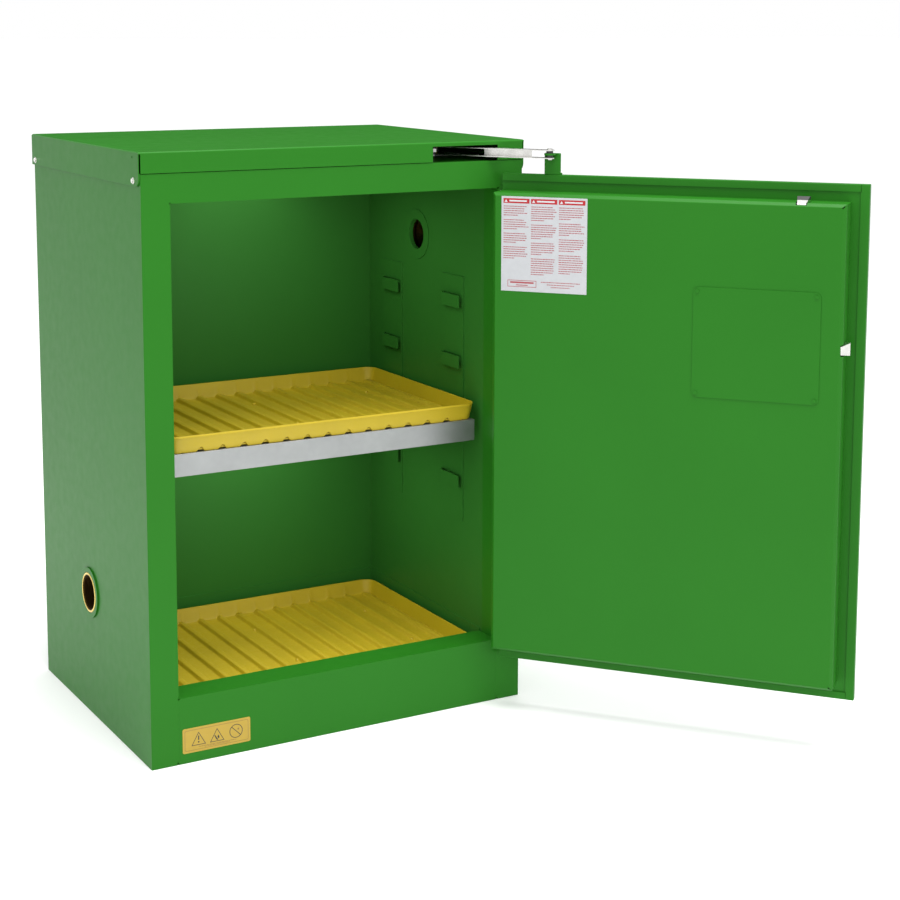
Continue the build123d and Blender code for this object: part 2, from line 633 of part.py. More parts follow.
def tray_shell(y_middle, inset, low, high):
    """Drafted block inside the tray's outer surface, from the foot's outline to the rim's."""
    sections = []
    for half, deep, z in ((TRAY_HALF[0], TRAY_DEPTH[0], low), (TRAY_HALF[1], TRAY_DEPTH[1], high)):
        outline = RectangleRounded(2 * (half - inset), deep - 2 * inset, TRAY_CORNER - inset)
        sections.append(Pos(0, y_middle, z) * outline)
    return loft(sections)


def tray_rib(index, y_middle, z, section, half_length):
    """Bar of trapezoid section from front to back; section is its base, crest and height."""
    base, crest, height = section
    x = (index - (TRAY_RIBS - 1) / 2) * TRAY_RIB_PITCH
    points = [(x - base / 2, y_middle, z), (x + base / 2, y_middle, z),
              (x + crest / 2, y_middle, z + height), (x - crest / 2, y_middle, z + height)]
    return prism(points, half_length, (0, 1, 0), both=True)


def tray(y_middle, z_floor):
    """Corrugated drip tray: drafted walls, and hollow ribs from front to back."""
    top = z_floor + TRAY_HEIGHT
    hollow = tray_shell(y_middle, TRAY_WALL, z_floor + TRAY_WALL, top + TRAY_WALL)
    body = tray_shell(y_middle, 0, z_floor, top) - hollow
    inside = TRAY_DEPTH[0] / 2 - TRAY_WALL - 0.5
    for i in range(TRAY_RIBS):
        body += tray_rib(i, y_middle, z_floor, RIB_OUTSIDE, inside)
    for i in range(TRAY_RIBS):
        body -= tray_rib(i, y_middle, z_floor - CUT, RIB_HOLLOW, TRAY_DEPTH[1])
    return body


# ---------------------------------------------------------------- door, built closed
def door_skin():
    """Outer skin: a shallow tray whose edges are turned back in three lips."""
    lip_inside = LIP_Y - SHEET
    outer = block(SKIN_X, (SKIN_FACE_Y, LIP_Y), SKIN_Z)
    inner = block((SKIN_X[0] + SHEET, SKIN_X[1] - SHEET), (SKIN_FACE_Y + SHEET, lip_inside),
                  (SKIN_Z[0] + SHEET, SKIN_Z[1] - SHEET))
    window = block((SKIN_X[0] + LIP_LATCH, SKIN_X[1] - SHEET), (lip_inside - CUT, LIP_Y + CUT),
                   (SKIN_Z[0] + LIP, SKIN_Z[1] - LIP))
    seat = lip_inside - SHEET - LIP_REVEAL - 0.1
    hinge_side = block((SKIN_X[1] - SHEET - 0.1, SKIN_X[1] + CUT), (seat, LIP_Y + CUT), SKIN_Z)
    shape = outer - inner - window - hinge_side
    slit_x = (SKIN_X[0] + LIP_LATCH - LIP_SLIT, SKIN_X[0] + LIP_LATCH)
    for z in (SKIN_Z[0], SKIN_Z[1] - LIP):
        shape -= block(slit_x, (lip_inside, LIP_Y + CUT), (z - CUT, z + LIP + CUT))
    return shape - rod((LATCH_X, LATCH_Z), "Y", ROSETTE_BORE, SKIN_FACE_Y - CUT, SKIN_FACE_Y + SHEET + CUT)


def bolt_bar(across, low, high, axis, play=0.0):
    """Bar of trapezoid section, slimmer towards the pan's face; across is the middle of its width."""
    wide, slim = BOLT_HALF[0] + play, BOLT_HALF[1] + play
    y = (BOLT_Y[0] - play, BOLT_Y[1] + play)
    section = [(across - wide, y[0]), (across + wide, y[0]), (across + slim, y[1]), (across - slim, y[1])]
    if axis == "Z":
        return prism([(a, b, low) for a, b in section], high - low, (0, 0, 1))
    return prism([(low, b, a) for a, b in section], high - low, (1, 0, 0))


def door_pan():
    """Raised inner pan; its flange is joggled down behind the skin's lips."""
    root = LIP_Y - 2 * SHEET - LIP_REVEAL
    flange_face = root + SHEET
    outer = block(PAN_X, (root, PAN_FACE_Y), PAN_Z)
    outer = chamfer(outer.faces().sort_by(Axis.Y)[-1].edges(), PAN_CHAMFER)
    hollow = block((PAN_X[0] + SHEET, PAN_X[1] - SHEET), (root - CUT, PAN_FACE_Y - SHEET),
                   (PAN_Z[0] + SHEET, PAN_Z[1] - SHEET))
    hollow = chamfer(hollow.faces().sort_by(Axis.Y)[-1].edges(), PAN_CHAMFER_INSIDE)
    edge = SHEET + FLANGE_PLAY
    x = (SKIN_X[0] + edge, SKIN_X[1] - SHEET)
    z = (SKIN_Z[0] + edge, SKIN_Z[1] - edge)
    lap = block(x, (flange_face, LIP_Y - SHEET), z)
    lap -= block((SKIN_X[0] + LIP_LATCH - LIP_LAP, SKIN_X[1]), (flange_face - CUT, LIP_Y),
                 (SKIN_Z[0] + LIP - LIP_LAP, SKIN_Z[1] - LIP + LIP_LAP))
    shape = outer + block(x, (root, flange_face), z) + lap - hollow
    wall = PAN_CHAMFER + SHEET
    shape -= bolt_bar(TOP_BOLT_X, PAN_Z[1] - wall, PAN_Z[1] + CUT, "Z", BOLT_MARGIN)
    shape -= bolt_bar(SIDE_BOLT_Z, PAN_X[0] - CUT, PAN_X[0] + wall, "X", BOLT_MARGIN)
    for corner_z, inset, tilt in ((PAN_Z[1], -PAN_SLIT_INSET, 45), (PAN_Z[0], PAN_SLIT_INSET, -45)):
        slit = Pos(PAN_X[0] + PAN_SLIT_INSET, PAN_FACE_Y, corner_z + inset) * Rot(0, tilt, 0) * Box(*PAN_SLIT)
        shape -= slit
    opening_x = (COVER_X[0] + COVER_LAP, COVER_X[1] - COVER_LAP)
    return shape - block(opening_x, (PAN_FACE_Y - SHEET - CUT, PAN_FACE_Y + CUT),
                         (COVER_Z[0] + COVER_LAP, COVER_Z[1] - COVER_LAP))


def latch_cover():
    plate = block(COVER_X, (PAN_FACE_Y, COVER_FACE_Y), COVER_Z)
    return fillet(plate.edges().filter_by(Axis.Y), COVER_CORNER)


def cover_rivets():
    columns = (COVER_X[0] + RIVET_INSET, COVER_X[1] - RIVET_INSET)
    rows = (COVER_Z[0] + RIVET_INSET, COVER_Z[1] - RIVET_INSET)
    span = (COVER_FACE_Y, COVER_FACE_Y + RIVET_HEAD)
    return group(rod((x, z), "Y", RIVET_R, *span) for x in columns for z in rows)


def hinge_leaf(on_door):
    """One leaf of the piano hinge, with every second knuckle of the barrel."""
    length = (HINGE_Z[1] - HINGE_Z[0]) / KNUCKLES
    x = (PAN_X[1], PAN_X[1] + LEAF) if on_door else (OPENING_HALF - LEAF, OPENING_HALF)
    reach = (x[0], HINGE_X - 2.2) if on_door else x
    root_y = HINGE_Y + BARREL_R + 0.3
    leaf = block(x, (root_y, HINGE_Y + LEAF_DEPTH), HINGE_Z)
    for i in range(1 if on_door else 0, KNUCKLES, 2):
        low = HINGE_Z[0] + i * length + KNUCKLE_GAP
        high = low + length - 2 * KNUCKLE_GAP
        leaf += block(reach, (HINGE_Y, root_y), (low, high))
        leaf += rod((HINGE_X, HINGE_Y), "Z", BARREL_R, low, high)
    return leaf - rod((HINGE_X, HINGE_Y), "Z", HINGE_PIN_R + BORE_PLAY, HINGE_Z[0] - CUT, HINGE_Z[1] + CUT)


def hinge_pin():
    end = 1.5
    return rod((HINGE_X, HINGE_Y), "Z", HINGE_PIN_R, HINGE_Z[0] - end, HINGE_Z[1] + end)


def closer_bracket():
    """Upright tab on top of the door with a horizontal ear for the closer's pin."""
    x = moved(BRACKET_X, HINGE_X)
    pin = BRACKET_PIN_CLOSED
    foot_top = SKIN_Z[1] + BRACKET_SHEET
    foot = block(x, (SKIN_FACE_Y + CUT, LIP_Y), (SKIN_Z[1], foot_top))
    upright = block(x, (LIP_Y - BRACKET_SHEET, LIP_Y), (foot_top, EAR_Z[1]))
    ear = block(around(pin[0], EAR_R), (LIP_Y, pin[1]), EAR_Z) + rod(pin, "Z", EAR_R, *EAR_Z)
    return foot + upright + ear - rod(pin, "Z", PIN_HOLE_R, EAR_Z[0] - CUT, EAR_Z[1] + CUT)


def pin_with_heads(centre):
    low, high = LINK_Z[0] - PIN_PLAY, LINK_Z[1] + PIN_PLAY
    shape = rod(centre, "Z", PIN_R, low, high)
    for foot in (low - PIN_HEAD, high):
        shape += rod(centre, "Z", PIN_HEAD_R, foot, foot + PIN_HEAD)
    return shape


def bushes(centre, middle_part):
    """Two spacer bushes that keep a pin's middle part between the link's flanges."""
    inside = (LINK_Z[0] + LINK_SHEET + LINK_PLAY, LINK_Z[1] - LINK_SHEET - LINK_PLAY)
    low = tube(centre, "Z", BUSH_R, PIN_R, inside[0], middle_part[0])
    high = tube(centre, "Z", BUSH_R, PIN_R, middle_part[1], inside[1])
    return group([low, high])


# ---------------------------------------------------------------- latch, built closed
def handle_plate():
    face = SKIN_FACE_Y - ROSETTE_SHEET
    plate = block(around(LATCH_X, ROSETTE[0]), (face, SKIN_FACE_Y), around(LATCH_Z, ROSETTE[1]))
    plate = fillet(plate.edges().filter_by(Axis.Y), 12.0)
    return plate - rod((LATCH_X, LATCH_Z), "Y", ROSETTE_BORE, face - CUT, SKIN_FACE_Y + CUT)


def plate_screws():
    face = SKIN_FACE_Y - ROSETTE_SHEET
    spots = [(LATCH_X, LATCH_Z + dz) for dz in (-ROSETTE_SCREW, ROSETTE_SCREW)]
    return group(rod(spot, "Y", PLATE_SCREW_R, face - PLATE_SCREW_HEAD, face) for spot in spots)


def turn_handle():
    """Hub with a drop grip; the hub is bored for the lock cylinder."""
    face = HUB_Y[0]
    hub = rod((LATCH_X, LATCH_Z), "Y", HUB_R, *HUB_Y)
    neck = block(around(LATCH_X, NECK_HALF), moved(NECK_Y, face), moved(NECK_Z, LATCH_Z))
    grip = block(around(LATCH_X, GRIP_HALF), moved(GRIP_Y, face), moved(GRIP_Z, LATCH_Z))
    grip = fillet(grip.edges(), 4.5)
    bore = rod((LATCH_X, LATCH_Z), "Y", SPINDLE_R + BORE_PLAY, face + GRIP_Y[0] - CUT, face + LOCK_SEAT)
    return hub + neck + grip - bore


def lock_cylinder():
    half_width, half_height, depth = KEYWAY
    face = HUB_Y[0] - LOCK_PROUD
    body = rod((LATCH_X, LATCH_Z), "Y", SPINDLE_R, face, face + LOCK_LENGTH)
    return body - block(around(LATCH_X, half_width), (face - CUT, face + depth), around(LATCH_Z, half_height))


def spindle():
    return rod((LATCH_X, LATCH_Z), "Y", SPINDLE_R, HUB_Y[1], CAM_Y[0])


def latch_cam():
    """Round cam plate with two crank pins, at the inner end of the spindle."""
    plate = rod((LATCH_X, LATCH_Z), "Y", CAM_R, *CAM_Y)
    top_pin = rod(TOP_CRANK, "Y", CRANK_PIN_R, CAM_Y[1], TOP_ROD_Y[1] + 0.3)
    side_pin = rod(SIDE_CRANK, "Y", CRANK_PIN_R, CAM_Y[1], SIDE_ROD_Y[1] + 0.8)
    return plate + top_pin + side_pin


def latch_case():
    """Bridge inside the door that carries the spindle."""
    x = moved(CASE_X, LATCH_X)
    shape = block(x, CASE_Y, around(LATCH_Z, CASE_HALF))
    for low in (LATCH_Z - CASE_HALF, LATCH_Z + CASE_HALF - CASE_SHEET):
        shape += block(x, (SKIN_FACE_Y + SHEET, CASE_Y[0]), (low, low + CASE_SHEET))
    return shape - rod((LATCH_X, LATCH_Z), "Y", SPINDLE_R + BORE_PLAY, CASE_Y[0] - CUT, CASE_Y[1] + CUT)


def rod_eye(crank, y, slot_x, slot_z):
    """Square eye of a latch rod, and the slot in it for the cam pin."""
    eye = block(around(crank[0], ROD_EYE), y, around(crank[1], ROD_EYE))
    slot = block(moved(slot_x, crank[0]), (y[0] - CUT, y[1] + CUT), moved(slot_z, crank[1]))
    return eye, slot


def top_rod():
    snug = CRANK_PIN_R + CRANK_PLAY
    bar = block(around(TOP_BOLT_X, ROD_HALF), TOP_ROD_Y, (LATCH_Z - 4, PAN_Z[1] + BOLT_THROW - BOLT_LENGTH))
    eye, slot = rod_eye(TOP_CRANK, TOP_ROD_Y, (-snug - CRANK_SWAY, snug + 0.5), (-snug, snug))
    return bar + eye - slot


def side_rod():
    snug = CRANK_PIN_R + CRANK_PLAY
    x = (PAN_X[0] - BOLT_THROW + BOLT_LENGTH, SIDE_CRANK[0] + ROD_EYE)
    bar = block(x, SIDE_ROD_Y, around(SIDE_BOLT_Z, ROD_HALF))
    eye, slot = rod_eye(SIDE_CRANK, SIDE_ROD_Y, (-snug, snug), (-snug - CRANK_SWAY, snug + 0.5))
    return bar + eye - slot


def bolt_profile(tip, inward):
    """Side view of a slam bolt as (along, y) points, from its tip inwards."""
    back, front = BOLT_Y
    root = tip + inward * BOLT_LENGTH
    shoulder = tip + inward * BOLT_SLOPE
    return [(root, back), (root, front), (shoulder, front), (tip, back + BOLT_NOSE), (tip, back)]


def top_bolt():
    tip = PAN_Z[1] + BOLT_THROW
    outline = [(TOP_BOLT_X, y, z) for z, y in bolt_profile(tip, -1)]
    bar = prism(outline, BOLT_HALF[0], (1, 0, 0), both=True)
    return bar & bolt_bar(TOP_BOLT_X, tip - BOLT_LENGTH - CUT, tip + CUT, "Z")


def side_bolt():
    tip = PAN_X[0] - BOLT_THROW
    outline = [(x, y, SIDE_BOLT_Z) for x, y in bolt_profile(tip, 1)]
    bar = prism(outline, BOLT_HALF[0], (0, 0, 1), both=True)
    return bar & bolt_bar(SIDE_BOLT_Z, tip - CUT, tip + BOLT_LENGTH + CUT, "X")


def bolt_guides():
    """Two open frames on the back of the pan that steer the bolts."""
    inner_y = (BOLT_Y[0] - GUIDE_PLAY, BOLT_Y[1] + GUIDE_PLAY)
    outer_y = (inner_y[0] - GUIDE_WALL, PAN_FACE_Y - SHEET)
    inner_half = BOLT_HALF[0] + GUIDE_PLAY
    outer_half = inner_half + GUIDE_WALL
    top_z = (PAN_Z[1] - SHEET - GUIDE_X[1], PAN_Z[1] - SHEET - GUIDE_X[0])
    upper = block(around(TOP_BOLT_X, outer_half), outer_y, top_z)
    upper -= block(around(TOP_BOLT_X, inner_half), inner_y, (top_z[0] - CUT, top_z[1] + CUT))
    side_x = moved(GUIDE_X, PAN_X[0] + SHEET)
    lower = block(side_x, outer_y, around(SIDE_BOLT_Z, outer_half))
    lower -= block((side_x[0] - CUT, side_x[1] + CUT), inner_y, around(SIDE_BOLT_Z, inner_half))
    return group([upper, lower])


def strike_plate(kind):
    """Plate behind the frame's edge with the hole that a bolt drops into."""
    y = (BOLT_HOLE_Y[0] - 4, INNER_START - 0.4)
    if kind == "side":
        x = (-OPENING_HALF - SHEET - STRIKE, -OPENING_HALF - SHEET)
        plate = block(x, y, around(SIDE_BOLT_Z, STRIKE_HALF))
        return plate - block((x[0] - CUT, x[1] + CUT), BOLT_HOLE_Y, around(SIDE_BOLT_Z, BOLT_HOLE_HALF))
    z = (OPENING_TOP + SHEET, OPENING_TOP + SHEET + STRIKE)
    plate = block(around(TOP_BOLT_X, STRIKE_HALF), y, z)
    return plate - block(around(TOP_BOLT_X, BOLT_HOLE_HALF), BOLT_HOLE_Y, (z[0] - CUT, z[1] + CUT))


# ---------------------------------------------------------------- self-closer, under the cap cover
def closer_base():
    plate = block(BASE_X, BASE_Y, (BODY_TOP, BASE_TOP))
    return fillet(plate.edges().filter_by(Axis.Z), 8.0)


def pivot_stud():
    neck_top = LEVER_HUB_Z[1] + 0.3
    stud = rod(PIVOT, "Z", STUD_R, BASE_TOP, neck_top)
    collar = rod(PIVOT, "Z", STUD_COLLAR[0], BASE_TOP, BASE_TOP + STUD_COLLAR[1])
    head = rod(PIVOT, "Z", STUD_HEAD[0], neck_top, neck_top + STUD_HEAD[1])
    return stud + collar + head


def closer_spring():
    """Torsion spring round the lever's hub."""
    coil = Helix(pitch=SPRING_PITCH, height=SPRING_HEIGHT, radius=SPRING_R)
    path = Pos(*PIVOT, BASE_TOP + SPRING_RISE) * coil
    profile = Plane(origin=path @ 0, z_dir=path % 0) * Circle(SPRING_WIRE_R)
    return sweep(profile, path)


def closer_lever():
    hub = rod((0, 0), "Z", LEVER_HUB_R, *LEVER_HUB_Z)
    arm = block((0, LEVER_LENGTH), (-LEVER_HALF, LEVER_HALF), LEVER_Z)
    arm += rod((LEVER_LENGTH, 0), "Z", LEVER_HALF, *LEVER_Z)
    shape = hub + arm - rod((0, 0), "Z", HUB_BORE_R, LEVER_HUB_Z[0] - CUT, LEVER_HUB_Z[1] + CUT)
    shape -= rod((LEVER_LENGTH, 0), "Z", PIN_HOLE_R, LEVER_Z[0] - CUT, LEVER_Z[1] + CUT)
    heading = math.degrees(math.atan2(CRANK[1], CRANK[0]))
    return Pos(*PIVOT, 0) * Rot(0, 0, heading) * shape


def closer_link():
    """Channel link: the web is cut away at both ends so that the flanges straddle their pins."""
    shape = block(LINK_WEB, (-LINK_HALF, -LINK_HALF + LINK_SHEET), LINK_Z)
    for low in (LINK_Z[0], LINK_Z[1] - LINK_SHEET):
        z = (low, low + LINK_SHEET)
        shape += block((0, LINK_LENGTH), (-LINK_HALF, LINK_HALF), z)
        for x, hole in ((0, FREE_HOLE_R), (LINK_LENGTH, PIN_HOLE_R)):
            shape += rod((x, 0), "Z", LINK_HALF, *z)
            shape -= rod((x, 0), "Z", hole, z[0] - CUT, z[1] + CUT)
    return Pos(*OUTER_PIN, 0) * Rot(0, 0, 90 + LINK_ANGLE) * shape


def fusible_link():
    """Two posts joined by a soldered strip that parts in a fire."""
    radius, height = FUSE_POST
    half, under, over = FUSE_STRIP
    posts = [rod((x, FUSE_Y), "Z", radius, BASE_TOP, BASE_TOP + height) for x in FUSE_X]
    strip = block((FUSE_X[0] - half, FUSE_X[1] + half), around(FUSE_Y, half),
                  (BASE_TOP + under, BASE_TOP + over))
    strip = fillet(strip.edges().filter_by(Axis.Z), half - 1)
    return posts[0] + posts[1] + strip


# ---------------------------------------------------------------- small fittings
def ground_stud():
    """Earthing stud through the right wall, with a washer and a nut on each side of the sheet."""
    stud = rod(GROUND_STUD, "X", GROUND_STUD_R, *moved(GROUND_STUD_X, HALF_W))
    washer_top = HALF_W + GROUND_WASHER[1]
    washer = rod(GROUND_STUD, "X", GROUND_WASHER[0], HALF_W, washer_top)
    outer_nut = side_hexagon(1, washer_top, GROUND_STUD, NUT_R, OUTER_NUT)
    inner_nut = side_hexagon(1, HALF_W - SHEET - INNER_NUT, GROUND_STUD, NUT_R, INNER_NUT)
    return stud + washer + outer_nut + inner_nut


def caution_label():
    plate = block(CAUTION_X, (FRONT - LABEL, FRONT), CAUTION_Z)
    return fillet(plate.edges().filter_by(Axis.Y), CAUTION_CORNER)


def door_label():
    return block(DOOR_LABEL_X, (PAN_FACE_Y, PAN_FACE_Y + LABEL), DOOR_LABEL_Z)


# ---------------------------------------------------------------- assembly
def build():
    for name, side in (("left", -1), ("right", 1)):
        keep("outer_side_" + name, outer_side(side))
        keep("inner_side_" + name, inner_side(side))
        keep("shelf_standards_" + name, group(shelf_standard(side, y) for y in STANDARD_Y))
    keep("outer_back_panel", outer_back())
    keep("base_panel", base_panel())
    keep("top_deck", top_deck())
    keep("top_rail", top_rail())
    keep("sill_panel", sill_panel())
    keep("cap_cover", cap_cover())
    keep("cap_screws", cap_screws())
    keep("inner_back_panel", inner_back())
    keep("inner_top_panel", inner_top())
    keep("sump_pan", sump_pan())
    keep("wall_spacers", wall_spacers())
    keep("vent_bungs", group([vent_bung(-1, VENT_LOW), vent_bung(1, VENT_HIGH)]))
    keep("vent_rings", group([vent_inner_ring(-1, VENT_LOW), vent_inner_ring(1, VENT_HIGH)]))
    keep("flame_arresters", group([flame_arrester(-1, VENT_LOW, HALF_W + ARRESTER_PROUD),
                                   flame_arrester(1, VENT_HIGH, HALF_W - PLUG_DEPTH)]))
    keep("vent_plug", vent_plug(1, VENT_HIGH))
    keep("hinge_leaf_frame", hinge_leaf(False))
    keep("hinge_pin", hinge_pin())
    keep("side_strike", strike_plate("side"))
    keep("top_strike", strike_plate("top"))
    keep("closer_base_plate", closer_base())
    keep("closer_pivot_stud", pivot_stud())
    keep("closer_spring", closer_spring())
    keep("fusible_link", fusible_link())
    keep("ground_stud", ground_stud())
    keep("caution_label", caution_label())

    keep("shelf_pan", shelf_pan())
    keep("shelf_hooks", shelf_hooks())
    keep("shelf_tray", tray(SHELF_TRAY_Y, SHELF_TOP))
    keep("floor_tray", tray(FLOOR_TRAY_Y, SUMP_FLOOR))

    closed = {
        "door_skin": door_skin(),
        "door_pan": door_pan(),
        "hinge_leaf_door": hinge_leaf(True),
        "latch_cover_plate": latch_cover(),
        "cover_rivets": cover_rivets(),
        "closer_bracket": closer_bracket(),
        "bracket_pin": pin_with_heads(BRACKET_PIN_CLOSED),
        "bracket_bushes": bushes(BRACKET_PIN_CLOSED, EAR_Z),
        "door_label": door_label(),
        "handle_plate": handle_plate(),
        "plate_screws": plate_screws(),
        "latch_case": latch_case(),
        "bolt_guides": bolt_guides(),
        "turn_handle": turn_handle(),
        "latch_spindle": spindle(),
        "latch_cam": latch_cam(),
        "lock_cylinder": lock_cylinder(),
        "top_rod": top_rod(),
        "top_bolt": top_bolt(),
        "side_rod": side_rod(),
        "side_bolt": side_bolt(),
    }
    for name, shape in closed.items():
        keep(name, swing(shape))

    keep("closer_lever", closer_lever())
    keep("lever_pin", pin_with_heads(INNER_PIN))
    keep("lever_bushes", bushes(INNER_PIN, LEVER_Z))
    keep("closer_link", closer_link())


build()
os.makedirs("parts", exist_ok=True)
for node, solid in PARTS.items():
    export_step(solid, "parts/" + node + ".step")
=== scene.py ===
import json
import math
import random

import bmesh
import bpy
from mathutils import Matrix, Vector

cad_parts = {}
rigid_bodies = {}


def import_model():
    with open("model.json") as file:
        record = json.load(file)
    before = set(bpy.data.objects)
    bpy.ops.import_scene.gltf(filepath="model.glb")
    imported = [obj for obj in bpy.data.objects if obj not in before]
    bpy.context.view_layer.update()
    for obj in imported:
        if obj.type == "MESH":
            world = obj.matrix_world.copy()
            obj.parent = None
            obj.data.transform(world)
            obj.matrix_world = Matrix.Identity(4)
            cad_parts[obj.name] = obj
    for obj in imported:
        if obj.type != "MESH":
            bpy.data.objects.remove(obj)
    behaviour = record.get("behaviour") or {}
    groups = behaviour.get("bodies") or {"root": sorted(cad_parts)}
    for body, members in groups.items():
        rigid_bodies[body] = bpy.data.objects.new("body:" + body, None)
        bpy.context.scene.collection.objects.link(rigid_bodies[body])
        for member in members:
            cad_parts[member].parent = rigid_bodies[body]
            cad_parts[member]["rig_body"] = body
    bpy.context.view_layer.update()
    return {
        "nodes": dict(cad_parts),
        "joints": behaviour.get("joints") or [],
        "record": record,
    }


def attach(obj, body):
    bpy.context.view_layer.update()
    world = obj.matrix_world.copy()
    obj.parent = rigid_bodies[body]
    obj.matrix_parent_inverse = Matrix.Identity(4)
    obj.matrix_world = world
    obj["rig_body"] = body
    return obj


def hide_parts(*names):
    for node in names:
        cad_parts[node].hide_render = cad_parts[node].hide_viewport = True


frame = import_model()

# Flammable storage cabinet: looks. Metres throughout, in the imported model's own frame.
NODES = frame["nodes"]
BODY_OF = {name: piece["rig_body"] for name, piece in NODES.items()}
SLOT_OF = {part["node"]: part["material_slot"] for part in frame["record"]["subparts"]}
JOINTS = {joint["name"]: joint for joint in frame["joints"]}
MOUNTS = {mount["name"]: mount for mount in frame["record"]["mounts"]}
MM = 0.001


# ---------------------------------------------------------------- places
def span_of(points):
    low = Vector([min(p[i] for p in points) for i in range(3)])
    high = Vector([max(p[i] for p in points) for i in range(3)])
    return low, high


HINGE = Vector((*JOINTS["door_swing"]["pos_m"][:2], 0))
OPEN_ANGLE = math.radians(-JOINTS["door_swing"]["range_deg"][0])
DOOR = Matrix.Translation(HINGE) @ Matrix.Rotation(OPEN_ANGLE, 4, "Z") @ Matrix.Translation(-HINGE)


def door_box(node):
    """A door part's box with the door closed. DOOR carries shapes made there to the open rest position."""
    closed = DOOR.inverted()
    return span_of([closed @ v.co for v in NODES[node].data.vertices])


def part_box(node):
    return span_of([v.co for v in NODES[node].data.vertices])


# ---------------------------------------------------------------- materials
NOISE_LOW, NOISE_HIGH = 0.3, 0.7    # middle range of a noise texture


def new_shader(name, color, roughness, metallic=0.0, **extra):
    material = bpy.data.materials.new(name)
    material.use_nodes = True
    bsdf = material.node_tree.nodes["Principled BSDF"]
    bsdf.inputs["Base Color"].default_value = (*color, 1)
    bsdf.inputs["Roughness"].default_value = roughness
    bsdf.inputs["Metallic"].default_value = metallic
    for socket, value in extra.items():
        bsdf.inputs[socket.replace("_", " ")].default_value = value
    return material, material.node_tree, bsdf


def coordinates(tree, stretch=(1, 1, 1)):
    place = tree.nodes.new("ShaderNodeTexCoord")
    mapping = tree.nodes.new("ShaderNodeMapping")
    mapping.inputs["Scale"].default_value = stretch
    tree.links.new(place.outputs["Object"], mapping.inputs["Vector"])
    return mapping.outputs["Vector"]


def noise(tree, vector, scale, detail=2.0, roughness=0.5):
    node = tree.nodes.new("ShaderNodeTexNoise")
    node.inputs["Scale"].default_value = scale
    node.inputs["Detail"].default_value = detail
    node.inputs["Roughness"].default_value = roughness
    tree.links.new(vector, node.inputs["Vector"])
    return node.outputs["Fac"]


def spread(tree, value, low, high, start=NOISE_LOW, end=NOISE_HIGH):
    """Maps a texture's middle range onto low to high."""
    node = tree.nodes.new("ShaderNodeMapRange")
    node.inputs["From Min"].default_value = start
    node.inputs["From Max"].default_value = end
    node.inputs["To Min"].default_value = low
    node.inputs["To Max"].default_value = high
    tree.links.new(value, node.inputs["Value"])
    return node.outputs["Result"]


def two_tone(tree, value, dark, light):
    ramp = tree.nodes.new("ShaderNodeValToRGB")
    ramp.color_ramp.elements[0].position = NOISE_LOW
    ramp.color_ramp.elements[0].color = (*dark, 1)
    ramp.color_ramp.elements[1].position = NOISE_HIGH
    ramp.color_ramp.elements[1].color = (*light, 1)
    tree.links.new(value, ramp.inputs["Fac"])
    return ramp.outputs["Color"]


def add_bump(tree, bsdf, height, strength, distance):
    bump = tree.nodes.new("ShaderNodeBump")
    bump.inputs["Strength"].default_value = strength
    bump.inputs["Distance"].default_value = distance
    tree.links.new(height, bump.inputs["Height"])
    tree.links.new(bump.outputs["Normal"], bsdf.inputs["Normal"])


def shade(color, factor):
    return tuple(channel * factor for channel in color)


def powder_coat(name, color, roughness=0.36):
    """Baked powder paint: an even colour with a faint drift, and a fine orange peel."""
    material, tree, bsdf = new_shader(name, color, roughness, Specular_IOR_Level=0.12)
    vector = coordinates(tree)
    drift = noise(tree, vector, 5.0, 3.0)
    tree.links.new(two_tone(tree, drift, shade(color, 0.975), shade(color, 1.025)), bsdf.inputs["Base Color"])
    patch = noise(tree, vector, 60.0, 2.0)
    tree.links.new(spread(tree, patch, roughness - 0.02, roughness + 0.03), bsdf.inputs["Roughness"])
    add_bump(tree, bsdf, noise(tree, vector, 640.0, 2.0), 0.05, 0.05 * MM)
    return material


def galvanised(name, color, roughness=0.42):
    """Zinc coated sheet: soft spangle, with a little mottling."""
    material, tree, bsdf = new_shader(name, color, roughness, 0.85)
    vector = coordinates(tree)
    spangle = tree.nodes.new("ShaderNodeTexVoronoi")
    spangle.inputs["Scale"].default_value = 110.0
    tree.links.new(vector, spangle.inputs["Vector"])
    mottle = noise(tree, vector, 22.0, 4.0)
    tree.links.new(two_tone(tree, mottle, shade(color, 0.95), shade(color, 1.04)), bsdf.inputs["Base Color"])
    tree.links.new(spread(tree, spangle.outputs["Distance"], roughness - 0.03, roughness + 0.05, 0.1, 0.7),
                   bsdf.inputs["Roughness"])
    add_bump(tree, bsdf, noise(tree, vector, 300.0, 3.0), 0.08, 0.05 * MM)
    return material


def plated(name, color, roughness):
    """Plated steel with faint drawing lines that run across its height."""
    material, tree, bsdf = new_shader(name, color, roughness, 1.0)
    lines = noise(tree, coordinates(tree, (1, 1, 14)), 260.0, 3.0)
    clouds = noise(tree, coordinates(tree), 70.0, 3.0)
    tree.links.new(two_tone(tree, clouds, shade(color, 0.86), shade(color, 1.06)), bsdf.inputs["Base Color"])
    tree.links.new(spread(tree, lines, roughness - 0.06, roughness + 0.10), bsdf.inputs["Roughness"])
    add_bump(tree, bsdf, lines, 0.08, 0.03 * MM)
    return material


def moulded(name, color, roughness):
    """Moulded plastic with a fine eroded texture."""
    material, tree, bsdf = new_shader(name, color, roughness)
    vector = coordinates(tree)
    tree.links.new(two_tone(tree, noise(tree, vector, 14.0, 4.0), shade(color, 0.93), shade(color, 1.05)),
                   bsdf.inputs["Base Color"])
    tree.links.new(spread(tree, noise(tree, vector, 180.0, 2.0), roughness - 0.05, roughness + 0.08),
                   bsdf.inputs["Roughness"])
    add_bump(tree, bsdf, noise(tree, vector, 900.0, 3.0), 0.25, 0.06 * MM)
    return material


